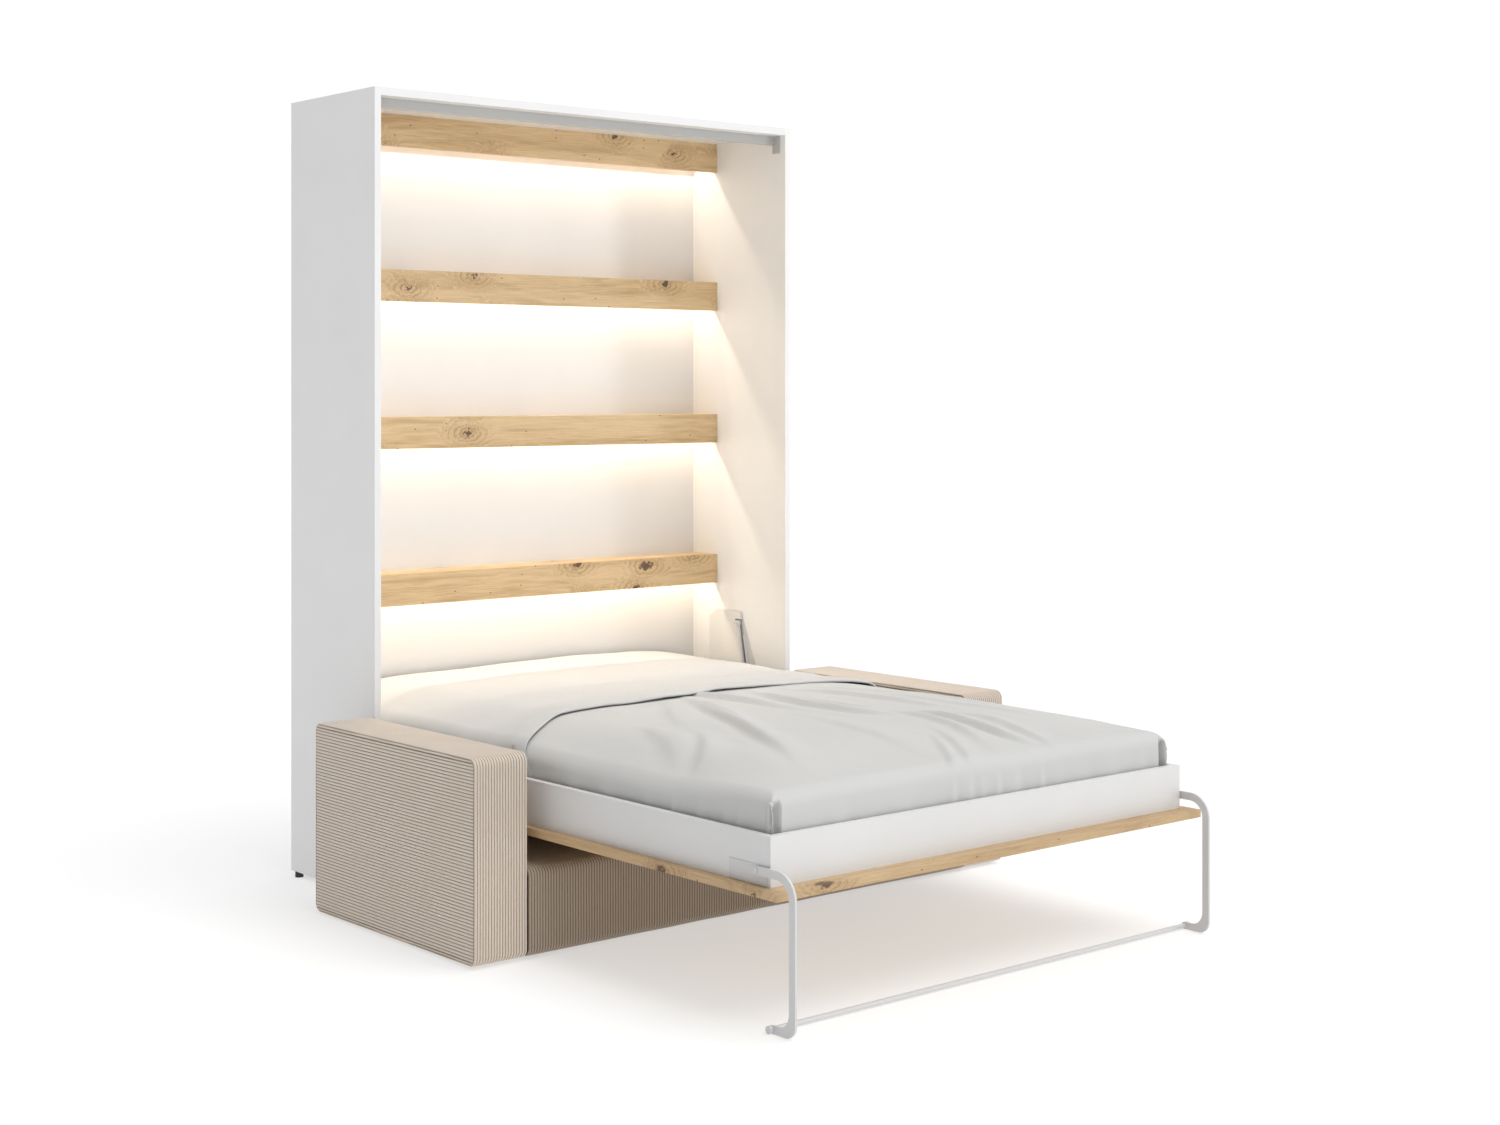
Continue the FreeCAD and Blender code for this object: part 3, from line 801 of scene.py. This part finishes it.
@dataclass
class Sofa:
    """Corduroy arms and seat base."""

    pitch: float = 8.5 * MM
    rib_height: float = 2.6 * MM
    arm_per_rib: int = 8
    seat_per_rib: int = 6
    corner: float = 24 * MM
    seam_inset: float = 3.5 * MM
    seam_in: float = 10 * MM
    edge_round: float = 7 * MM
    panel_depth: float = 10 * MM
    lip: float = 18 * MM
    crown: float = 3 * MM

    def ease(self, distance: Grid) -> Grid:
        """Drop of a padded edge: a quarter circle of radius edge_round, 0 beyond it."""
        reach = np.clip(1.0 - distance / self.edge_round, 0.0, 1.0)
        return self.edge_round * 0.62 * (1.0 - np.sqrt(1.0 - reach * reach))

    def across(self, low: float, high: float, per_rib: int) -> tuple[Grid, Grid]:
        """Places across the ribs, and the rib height there, 0 at both ends.

        Args:
            low: where the first rib starts.
            high: where the last one ends.
            per_rib: steps over one rib.

        Returns:
            The places, and the height from 0 to 1 at each.
        """
        ribs = max(1, round((high - low) / self.pitch))
        places = np.linspace(low, high, ribs * per_rib + 1)
        return places, wale(places - low, (high - low) / ribs)

    def band(self, shell: Shell, x_span: Span, y_span: Span, z_span: Span, per_rib: int) -> None:
        """Add the band that wraps front, top, back and bottom, its ribs running round it.

        A point is the rounded rectangle's point plus its normal times (rib - edge drop). The
        first and last rows turn in under the edge, and the end walls close the band there.

        Args:
            shell: what the band is added to.
            x_span: its two ends.
            y_span: front and back.
            z_span: bottom and top.
            per_rib: steps over one rib.
        """
        (x0, x1), (y0, y1), (z0, z1) = x_span, y_span, z_span
        y, z, ny, nz = rounded_loop(y0, y1, z0, z1, self.corner, 14, 9)
        x, rib = self.across(x0, x1, per_rib)
        x, rib = np.pad(x, 1)[None, :], np.pad(rib, 1)[None, :]
        x[0, 0], x[0, -1] = x0 + self.lip, x1 - self.lip
        edge = np.minimum(x - x0, x1 - x)
        swell = self.crown * 0.5 * np.sin(np.pi * (x - x0) / (x1 - x0)) * (1.0 - np.abs(ny * nz) * 2)
        wander = 0.5 * MM * cloud(x + 0.0 * y, y + z, 0.11, 7)
        out = rib * self.rib_height - self.rib_height - self.ease(edge) + np.minimum(swell, 0) + wander
        out[:, [0, -1]] = -self.edge_round - self.rib_height
        index = shell.grid(x, y + ny * out, z + nz * out, rib + 0.0 * y, wrap=True,
                           flat=(x + 0.0 * y, np.cumsum(np.hypot(np.gradient(y, axis=0),
                                                                   np.gradient(z, axis=0)), 0) + 0.0 * x))
        shell.cap(list(index[:, 0]))
        shell.cap(list(index[:, -1]), flip=True)

    def panel(self, shell: Shell, x: float, side: int, y_span: Span, z_span: Span) -> None:
        """Add one flat side panel, its ribs level, set into the band's edge.

        A row at height z runs between the rounded outline's two ends, and x is the face
        plus crown plus rib less the edge drop.

        Args:
            shell: what the panel is added to.
            x: where its face stands.
            side: 1 where it faces right, and -1 where it faces left.
            y_span: front and back.
            z_span: bottom and top.
        """
        (y0, y1), (z0, z1) = y_span, z_span
        inset = self.seam_inset
        radius = self.corner - inset
        z, rib = self.across(z0 + inset, z1 - inset, self.arm_per_rib)
        z, rib = z[:, None], rib[:, None]
        low = np.clip(radius - (z - z0 - inset), 0.0, radius)
        high = np.clip(radius - (z1 - inset - z), 0.0, radius)
        tuck = radius - np.sqrt(radius ** 2 - np.maximum(low, high) ** 2)
        t = np.linspace(0.0, 1.0, 49)[None, :]
        t = 0.5 - 0.5 * np.cos(np.pi * t)
        front, back = y0 + inset + tuck, y1 - inset - tuck
        y = front + (back - front) * t
        edge = np.minimum(np.minimum(y - front, back - y),
                          np.minimum(z - z0 - inset, z1 - inset - z))
        middle = np.sin(np.pi * (z - z0) / (z1 - z0)) * np.sin(np.pi * t)
        from_seam = edge - self.seam_in
        seam = 0.9 * MM * np.exp(-(from_seam / (1.4 * MM)) ** 2)
        wander = 0.7 * MM * cloud(y, z + 0.0 * y, 0.09, 11 + side)
        # painted shade: a mask along the sunk seam line and the panel's edge, which lowers the rib
        # attribute there so the dark colour is painted into them
        seam_and_edge_shade = np.exp(-(from_seam / (1.6 * MM)) ** 2) + np.exp(-(edge / (2.2 * MM)) ** 2)
        out = self.crown * middle + (rib - 1) * self.rib_height * 0.7 - self.ease(edge) * 0.9
        out = out + wander - seam - self.crown
        face = x + side * out
        shade = rib * (1 - 0.75 * np.minimum(seam_and_edge_shade, 1))
        index = shell.grid(face, y, z + 0.0 * y, shade, flip=side > 0)
        behind = x - side * self.panel_depth
        rim = (list(index[0, :]) + list(index[1:, -1])
               + list(index[-1, -2::-1]) + list(index[-2:0:-1, 0]))
        points = np.concatenate(shell.points)[rim]
        ring = shell.grid(np.stack([points[:, 0], np.full(len(rim), behind)], 1),
                          np.repeat(points[:, 1:2], 2, 1), np.repeat(points[:, 2:3], 2, 1),
                          np.zeros((len(rim), 2)), wrap=True, flip=side < 0)
        shell.cap(list(ring[:, 1]), flip=side < 0)

    def arm(self, side: str) -> None:
        """Make one arm: the ribbed band and its two side panels.

        Args:
            side: "left" or "right".
        """
        node = f"sofa_arm_{side}"
        low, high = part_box(node)
        shell = Shell()
        y_span, z_span = (low.y, high.y), (low.z, high.z)
        ends = low.x + self.seam_inset, high.x - self.seam_inset
        self.band(shell, ends, y_span, z_span, self.arm_per_rib)
        self.panel(shell, low.x, -1, y_span, z_span)
        self.panel(shell, high.x, 1, y_span, z_span)
        made = shell.piece(f"arm_cover_{side}", Finish.CORDUROY, merge=1e-6)
        self.settle(made, node)

    def seat(self) -> None:
        """Make the seat base: one band of ribs running front to back."""
        low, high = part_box("sofa_seat")
        shell = Shell()
        self.band(shell, (low.x, high.x), (low.y, high.y), (low.z, high.z), self.seat_per_rib)
        # the seat takes the darker copy of the corduroy, painted shade for its place under the bed
        made = shell.piece("seat_cover", Finish.SHADED_SEAT_CORDUROY)
        self.settle(made, "sofa_seat")

    def settle(self, made: bpy.types.Object, node: str) -> None:
        """Let a cover stand for its CAD solid.

        Args:
            made: the cover.
            node: the CAD node that it replaces.
        """
        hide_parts(node)
        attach(made, "cabinet")
        LOG.info("%s: %d faces", made.name, len(made.data.polygons))

    def build(self) -> None:
        """Make arms and seat, and dress the glides."""
        self.arm("left")
        self.arm("right")
        self.seat()
        dress("sofa_glides", Finish.BLACK_PLASTIC)


@dataclass(frozen=True)
class Crease:
    """One soft fold, along a curve of three points in metres from the middle of the bed's foot."""

    start: tuple[float, float]
    turn: tuple[float, float]
    end: tuple[float, float]
    height: float
    width: float
    peak: float = 0.5
    steep: float = 0.6

    def lift(self, x: Grid, y: Grid) -> Grid:
        """Ridge along the curve (1-t)^2 A + 2t(1-t) B + t^2 C.

        Its section is a bell with one gentle and one steep flank, less a hollow at the steep
        one's foot. It swells to its full height by peak and dies away at both ends.

        Args:
            x: place across the bed.
            y: place up the bed from its foot.

        Returns:
            Height of the fold at each place.
        """
        t = np.linspace(0.0, 1.0, 60)
        a, b, c = (np.array(p)[:, None] for p in (self.start, self.turn, self.end))
        curve = (1 - t) ** 2 * a + 2 * t * (1 - t) * b + t ** 2 * c
        ahead = np.gradient(curve, axis=1)
        ahead /= np.linalg.norm(ahead, axis=0)
        place = np.stack([x.ravel(), y.ravel()], 1)
        gap = ((place[:, :, None] - curve[None]) ** 2).sum(1)
        near = gap.argmin(1)
        off = place - curve[:, near].T
        side = off[:, 0] * ahead[1, near] - off[:, 1] * ahead[0, near]
        beyond = off[:, 0] * ahead[0, near] + off[:, 1] * ahead[1, near]
        run = t[near]
        swell = blend_step(run, 0.0, 0.8 * self.peak) * (1 - blend_step(run, self.peak + 0.15, 1.0))
        wide = self.width * (0.75 + 0.5 * run)
        gentle, sharp = np.exp(-(side / (2.6 * wide)) ** 2), np.exp(-(side / (0.75 * wide)) ** 2)
        hollow = self.steep * 0.45 * np.exp(-((side - 1.7 * wide) / (1.1 * wide)) ** 2)
        ridge = np.where(side < 0, gentle, sharp) - hollow
        return (self.height * swell * ridge * np.exp(-(beyond / 0.02) ** 2)).reshape(x.shape)


@dataclass
class Bedding:
    """Mattress, the cover tucked round it, and the cover's turned-down head."""

    round_edge: float = 44 * MM
    cloth_step: float = 8.5 * MM
    fine_step: float = 3 * MM
    coarse_step: float = 40 * MM
    thickness: float = 4 * MM
    fold_line: float = 1.085
    fold_lift: float = 8.5 * MM
    hem_round: float = 3.2 * MM
    side_sag: float = 32 * MM
    sag_width: float = 0.22
    crown: float = 34 * MM
    sunk: float = 12 * MM
    drop: float = 0.125
    saved: float = 0.02
    head_extra: float = 0.10
    creases: tuple[Crease, ...] = (
        Crease((-0.04, 1.14), (-0.15, 0.82), (-0.49, 0.10), 0.017, 0.015, 0.55, 0.9),
        Crease((-0.02, 1.14), (0.06, 1.00), (0.08, 0.62), 0.012, 0.013, 0.30, 0.8),
        Crease((0.19, 1.12), (0.09, 0.76), (0.23, 0.42), 0.013, 0.013, 0.40, 0.9),
        Crease((0.24, 0.62), (0.23, 0.30), (0.07, 0.02), 0.009, 0.014, 0.40, 0.6),
        Crease((0.28, 1.08), (0.44, 0.82), (0.40, 0.42), 0.009, 0.012, 0.40, 0.7),
        Crease((0.30, 0.58), (0.21, 0.30), (0.24, 0.02), 0.014, 0.011, 0.50, 1.0),
        Crease((0.44, 0.95), (0.53, 0.62), (0.47, 0.16), 0.006, 0.016, 0.45, 0.5),
        Crease((0.34, 0.48), (0.35, 0.22), (0.26, -0.02), 0.007, 0.012, 0.55, 0.7),
        Crease((-0.10, 1.08), (-0.31, 0.88), (-0.45, 0.50), 0.006, 0.022, 0.40, 0.4),
        Crease((0.02, 0.76), (-0.03, 0.42), (-0.13, 0.05), 0.005, 0.020, 0.50, 0.5),
        Crease((-0.44, 0.82), (-0.50, 0.58), (-0.64, 0.38), 0.008, 0.024, 0.50, 0.5),
        Crease((-0.38, 0.64), (-0.49, 0.44), (-0.66, 0.31), 0.009, 0.018, 0.55, 0.8),
        Crease((0.54, 1.02), (0.60, 0.72), (0.58, 0.36), 0.005, 0.020, 0.50, 0.4),
        Crease((0.13, 0.34), (0.07, 0.15), (-0.07, -0.02), 0.006, 0.011, 0.65, 0.7),
        Crease((0.07, 0.27), (-0.01, 0.12), (-0.13, -0.02), 0.006, 0.010, 0.65, 0.6),
        Crease((-0.07, 1.02), (-0.13, 0.86), (-0.23, 0.58), 0.007, 0.011, 0.40, 0.9),
        Crease((0.15, 1.00), (0.23, 0.80), (0.25, 0.58), 0.006, 0.010, 0.40, 0.9),
        Crease((0.36, 1.06), (0.50, 0.90), (0.56, 0.62), 0.005, 0.013, 0.40, 0.6),
    )
    drapes: tuple[tuple[float, float, float], ...] = (
        (-0.12, 0.010, 3.0), (-0.065, 0.014, 3.5), (-0.02, 0.008, 2.0), (0.035, 0.011, 4.0),
        (0.10, 0.016, 2.5), (0.195, 0.010, 3.5), (0.26, 0.016, 1.5), (0.35, 0.020, 1.5),
        (-0.30, 0.030, 1.5), (-0.50, 0.024, 2.0), (0.46, 0.026, 1.5), (0.58, 0.020, 1.5))
    tucks: tuple[tuple[float, float, float], ...] = (
        (0.345, 0.008, 6.0), (0.25, 0.016, 3.0), (0.16, 0.011, 2.5), (0.11, 0.009, 3.0),
        (0.44, 0.022, 2.5), (0.60, 0.026, 3.0), (0.74, 0.024, 2.5), (0.90, 0.028, 2.5))

    def bend(self, along: Grid, limit: float) -> tuple[Grid, Grid]:
        """Carry a flat distance over a rounded edge.

        Args:
            along: flat distance from the middle outwards.
            limit: where the vertical face stands.

        Returns:
            Level distance and drop: straight, then a quarter circle, then straight down.
        """
        r = self.round_edge
        start = limit - r
        angle = np.clip((along - start) / r, 0.0, math.pi / 2)
        over = np.maximum(along - start - r * math.pi / 2, 0.0)
        level = np.minimum(along, start) + r * np.sin(angle)
        return level, r * (1 - np.cos(angle)) + over

    def columns(self, half: float, drop: float) -> Grid:
        """Places across the cloth, closer together round both edges."""
        r = self.round_edge
        edge = half - r + r * math.pi / 2
        flat_part = np.arange(0.0, edge - 0.10, self.cloth_step)
        edge_part = np.arange(edge - 0.10, edge + 0.012, self.fine_step)
        side_part = np.linspace(edge + 0.014, edge + drop - r, round((drop - r) / 0.009))
        right = np.concatenate([flat_part, edge_part, side_part])
        return np.concatenate([-right[:0:-1], right])

    def sag(self, x: Grid, y: Grid, half: float) -> Grid:
        """How far the top falls away towards its left side: more with the distance from the foot."""
        reach = blend_step(-x, half - self.sag_width, half + 0.03)
        return self.side_sag * reach * blend_step(y, 0.02, 0.40)

    def puff(self, x: Grid, y: Grid, half: float, seed: int) -> Grid:
        """Crown and soft unevenness of a filled cover: three sizes of smooth noise."""
        broad = 3.5 * MM * cloud(x, y, 0.36, seed) + 1.6 * MM * cloud(x + y * 0.6, y, 0.14, seed + 1)
        fine = 0.5 * MM * cloud(x - y, x + y, 0.05, seed + 2)
        middle = (1 - np.abs(x / half) ** 6.0) * blend_step(y, -0.05, 0.34)
        return broad + fine + self.crown * middle

    def pleats(self, place: Grid, folds: Sequence[tuple[float, float, float]]) -> Grid:
        """Depth of upright folds, each a pair of bells at a place with a width and depth in mm."""
        total = np.zeros_like(place)
        for at, wide, deep in folds:
            bell = np.exp(-((place - at) / wide) ** 2)
            total = total + deep * MM * (bell - 0.5 * np.exp(-((place - at - 1.7 * wide) / wide) ** 2))
        return total

    def cover(self, half: float, foot: float, head: float, top: float,
              drop: float) -> bpy.types.Object:
        """Make the cover: it lies on the top, goes over three edges and is tucked in.

        Args:
            half: half its width over the sides.
            foot: y of its foot face.
            head: y of its head edge.
            top: height of its top.
            drop: how far its sides reach down.

        Returns:
            The piece.
        """
        r = self.round_edge
        a = self.columns(half, drop)[None, :]
        fold = self.fold_line + 0.05 - r
        down_part = np.linspace(-(r * math.pi / 2 + drop - r), -r * math.pi / 2 - 0.004, 12)
        edge_part = np.arange(-r * math.pi / 2, 0.02, 4 * MM)
        lying = np.arange(0.024, fold, self.cloth_step)
        under = np.arange(fold, head - foot - r, self.coarse_step)
        b = np.concatenate([down_part, edge_part, lying, under])[:, None]
        level, fall = self.bend(np.abs(a), half)
        x = np.sign(a) * level + 0.0 * b
        inward, foot_fall = self.bend(-b, r)
        y = foot + r + np.where(b >= 0, b, -inward) + 0.0 * a
        foot_fall = np.where(b >= 0, 0.0, foot_fall) + 0.0 * a
        fall = fall + 0.0 * b
        fy = y - foot
        side_part = blend_step(fall, 0.2 * r, r)
        foot_part = blend_step(foot_fall, 0.2 * r, r)
        on_top = (1 - side_part) * (1 - foot_part)
        down = np.maximum(fall, foot_fall)
        lift = sum(c.lift(x, fy) for c in self.creases)
        z = top - self.sunk - down - self.sag(x, fy, half) * (1 - 0.75 * blend_step(fall, 0.0, 0.09))
        z = z + (lift + self.puff(x, fy, half, 3)) * (0.1 + 0.9 * on_top)
        low = blend_step(down, 0.1 * r, 2.0 * r)
        lean = x + 0.10 * (z - top)
        pull = self.pleats(lean, self.drapes) * low + 1.2 * MM * cloud(lean, z * 0.15, 0.05, 41) * low
        gather = self.pleats(fy + 0.06 * (z - top), self.tucks) * low
        gather = gather + 1.6 * MM * cloud(fy, z * 0.2, 0.07, 43) * low
        rim = np.abs(x)
        recess = (blend_step(rim, half - 33 * MM, half - 27 * MM)
                  * (1 - blend_step(rim, half - 7 * MM, half - 4 * MM)))
        y = y + foot_part * (5 * MM - np.clip(pull, -5 * MM, 5 * MM) + recess * 19 * MM)
        x = x - np.sign(x) * side_part * (1 - foot_part) * (5 * MM - np.clip(gather, -5 * MM, 5 * MM))
        shell = Shell()
        shell.grid(x, y, z, flat=(a + 0.0 * b, b + 0.0 * a))
        made = shell.piece("bed_cover", Finish.BEDDING, merge=0.4 * MM)
        self.thicken(made)
        return made

    def hem_line(self, a: Grid) -> Grid:
        """Front of the turned-down head: bowed, and drawn to the foot at its left side.

        Args:
            a: flat distance from the middle.

        Returns:
            Distance from the foot.
        """
        drawn = 0.17 * blend_step(-a, 0.44, 0.80) + 0.05 * blend_step(a, 0.50, 0.80)
        wave = 0.010 * np.sin(a * 7.0 + 0.9) + 0.006 * np.sin(a * 17.0)
        return self.fold_line + wave - drawn + 0.035 * blend_step(a, -0.10, 0.30)

    def turned_head(self, half: float, foot: float, head: float, top: float,
                    drop: float) -> bpy.types.Object:
        """Make the turned-down head: a layer over the cover with a rolled hem at its front.

        The hem's section is a half circle that starts under the layer and comes up to its top.

        Args:
            half: half its width over the sides.
            foot: y of the bed's foot face.
            head: y of its head edge.
            top: height of its top.
            drop: how far its sides reach down.

        Returns:
            The piece.
        """
        a = self.columns(half, drop)[None, :]
        level, fall = self.bend(np.abs(a), half)
        x = np.sign(a) * level
        front = foot + self.hem_line(a)
        angle = np.linspace(math.pi, 0.0, 9)[:, None]
        t = (np.linspace(0.0, 1.0, 92)[1:, None]) ** 1.25
        tucked = np.array([[0.05], [0.03], [0.012]])
        forward = np.concatenate([tucked, -self.hem_round * np.sin(angle), np.zeros_like(t)])
        under = np.concatenate([np.full_like(tucked, 2.0), 1 - np.cos(angle), np.zeros_like(t)])
        share = np.concatenate([np.zeros((12, 1)), t])
        y = front + forward + (head - front) * share
        fy = y - foot
        x, fall = x + 0.0 * y, fall + 0.0 * y
        on_top = 1 - blend_step(fall, 0.2 * self.round_edge, self.round_edge)
        behind = np.maximum(fy - self.hem_line(a), 0.0)
        raised = 4 * MM * np.exp(-((x + 0.02) / 0.16) ** 2) * np.exp(-behind / 0.10)
        swell = 4 * MM * np.exp(-((behind - 0.05) / 0.05) ** 2) + 3 * MM * cloud(x, fy * 1.8, 0.22, 27)
        wrinkle = 2.2 * MM * cloud(x * 0.6 + fy * 0.5, fy * 2.2, 0.075, 31) * np.exp(-behind / 0.45)
        z = top - self.sunk - fall - self.sag(x, fy, half) * (1 - 0.75 * blend_step(fall, 0.0, 0.09))
        z = z + (self.puff(x, fy, half, 3) + raised + swell + wrinkle) * (0.1 + 0.9 * on_top)
        hang = blend_step(fall, 0.3 * self.round_edge, 2 * self.round_edge)
        inward = self.hem_round * under
        z = z - inward * on_top
        gather = 3 * MM * cloud(fy, z * 0.3, 0.08, 33) * hang
        x = x - np.sign(x) * (1 - on_top) * (3 * MM - np.minimum(gather, 3 * MM) + inward * 0.35)
        flat_y = np.cumsum(np.hypot(np.gradient(y, axis=0), np.gradient(z, axis=0)), 0)
        shell = Shell()
        shell.grid(x, y, z, flat=(a + 0.0 * y, flat_y))
        made = shell.piece("turned_down_head", Finish.BEDDING)
        self.thicken(made)
        return made

    def thicken(self, made: bpy.types.Object) -> None:
        """Face a cloth outwards and give it its thickness, inwards.

        Args:
            made: the cloth.
        """
        mesh = made.data
        up = np.empty(len(mesh.polygons) * 3)
        mesh.polygons.foreach_get("normal", up)
        if up.reshape(-1, 3)[:, 2].sum() < 0:
            mesh.flip_normals()
        wall = made.modifiers.new("wall", "SOLIDIFY")
        wall.thickness = self.thickness
        wall.offset = -1.0

    def mattress(self) -> None:
        """Make the mattress: rounded in plan, its upper edge worn to a broad soft roll.

        A point is on a rounded rectangle in plan, pulled in by an ellipse near the top and
        by a line of stitching near the bottom.
        """
        low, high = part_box("mattress")
        y, x, ny, nx = rounded_loop(low.y, high.y, low.x, high.x, 0.05, 60, 9)
        t = np.linspace(0.0, 1.0, 33)[None, :]
        soft, sunk, reach = 70 * MM, 26 * MM, 0.17
        z = low.z + (high.z - sunk - low.z) * t
        above = np.clip((z - (high.z - sunk - soft)) / soft, 0.0, 1.0)
        pull = reach * (1 - np.sqrt(1 - above ** 2))
        edge = z - low.z
        stitch = 3 * MM * np.exp(-((edge - 30 * MM) / (3 * MM)) ** 2)
        under = 10 * MM * np.clip(1 - edge / (20 * MM), 0, 1) ** 2
        middle_y = np.clip(y, low.y + reach + 0.05, high.y - reach - 0.05)
        middle_x = np.clip(x, low.x + reach + 0.05, high.x - reach - 0.05)
        share = pull / (reach + 0.05)
        px, py = x + (middle_x - x) * share, y + (middle_y - y) * share
        inward = stitch + under
        shell = Shell()
        index = shell.grid(px - nx * inward, py - ny * inward, z + 0.0 * x, wrap=True)
        shell.cap(list(index[:, 0]))
        shell.cap(list(index[:, -1]), flip=True)
        made = shell.piece("mattress_body", Finish.MATTRESS)
        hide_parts("mattress")
        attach(made, "bed")

    def build(self) -> None:
        """Make the mattress, the cover and its turned-down head."""
        self.mattress()
        low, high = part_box("duvet")
        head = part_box("mattress")[1].y - 6 * MM
        half, hang = high.x, self.drop - self.saved
        cover = self.cover(half, low.y, head, high.z, self.drop)
        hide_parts("duvet")
        turned = self.turned_head(half + 1.5 * MM, low.y, head - 4 * MM,
                                  high.z + self.fold_lift, hang)
        lengths = head - low.y + hang, head - low.y - self.fold_line + self.head_extra
        for made, length in zip((cover, turned), lengths):
            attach(made, "bed")
            LOG.info("%s: %d faces", made.name, len(made.data.polygons))


@dataclass
class Studio:
    """Camera, lights, floor and the colour of the air."""

    eye: tuple[float, float, float] = (-3.9126, -4.5554, 1.4173)
    turn: float = 39.683
    lens: float = 52.16
    sensor: float = 36.0
    far: float = 200.0
    shift_x: float = 0.038
    shift_y: float = -0.1157
    floor_reach: float = 60.0
    air: float = 0.66
    lean: tuple[float, float, float] = (0.26, -0.12, 0.0)
    backdrop: float = 1.02
    white: tuple[float, float, float, float] = (1.0, 1.0, 1.0, 1.0)

    def camera(self) -> None:
        """Stand a level camera before the bed's left foot corner."""
        data = bpy.data.cameras.new("camera")
        data.lens = self.lens
        data.sensor_width = self.sensor
        data.shift_x = self.shift_x
        data.shift_y = self.shift_y
        data.clip_end = self.far
        made = bpy.data.objects.new("camera", data)
        made.location = self.eye
        made.rotation_euler = (math.radians(90.0), 0.0, math.radians(-self.turn))
        bpy.context.scene.collection.objects.link(made)
        bpy.context.scene.camera = made

    def floor(self) -> None:
        """Lay a wide pale floor that glows a little, which keeps its shadows light."""
        reach = self.floor_reach
        side = np.array([-reach, reach])
        shell = Shell()
        shell.grid(side[:, None], side[None, :], np.zeros((2, 2)))
        made = shell.piece("floor", FloorPaint())

    def sun(self, name: str, turn: float, rise: float, power: float, spread: float,
            colour: tuple[float, float, float] = (1.0, 1.0, 1.0)) -> None:
        """Add one far light.

        Args:
            name: its name.
            turn: degrees to the right of straight ahead of the bed's foot.
            rise: degrees above level.
            power: its strength.
            spread: degrees that it fills, which softens its shadows.
            colour: its colour.
        """
        light = bpy.data.lights.new(name, "SUN")
        light.energy = power
        light.angle = math.radians(spread)
        light.color = colour
        made = bpy.data.objects.new(name, light)
        across, up = math.radians(turn), math.radians(rise)
        level = math.cos(up)
        towards = Vector((math.sin(across) * level, -math.cos(across) * level, math.sin(up)))
        made.rotation_euler = towards.to_track_quat("Z", "Y").to_euler()
        bpy.context.scene.collection.objects.link(made)

    def surroundings(self) -> None:
        """Make the air: stronger from the right and the front, before a white backdrop."""
        world = bpy.data.worlds.new("air")
        n = NodeMaker(world)
        heading = n.add("ShaderNodeTexCoord", output="Generated")
        slope = n.add("ShaderNodeVectorMath", {"operation": "DOT_PRODUCT"}, {0: heading, 1: self.lean},
                      output="Value")
        soft = n.add("ShaderNodeBackground", {}, {"Strength": slope + self.air, "Color": self.white})
        white = n.add("ShaderNodeBackground", {}, {"Strength": self.backdrop, "Color": self.white})
        seen = n.add("ShaderNodeLightPath", output="Is Camera Ray")
        both = n.add("ShaderNodeMixShader", {}, {0: seen, 1: soft, 2: white})
        n.add("ShaderNodeOutputWorld", {}, {"Surface": both})
        bpy.context.scene.world = world

    def build(self) -> None:
        """Set the stage."""
        self.camera()
        self.floor()
        self.surroundings()
        self.sun("overhead", 32.0, 67.0, 1.50, 50.0)
        self.sun("front", 34.5, 3.0, 0.18, 8.0)
        bpy.context.scene.view_settings.view_transform = "Standard"
        LOG.info("studio set")


def main() -> None:
    """Build the wall bed piece by piece."""
    logging.basicConfig(level=logging.INFO, format="%(name)s: %(message)s")
    Studio().build()
    for part in (Cabinet(), LitBeams(), LiftFitting(), BedFrame(), Sofa(), Bedding()):
        part.build()


if __name__ == "__main__":
    main()
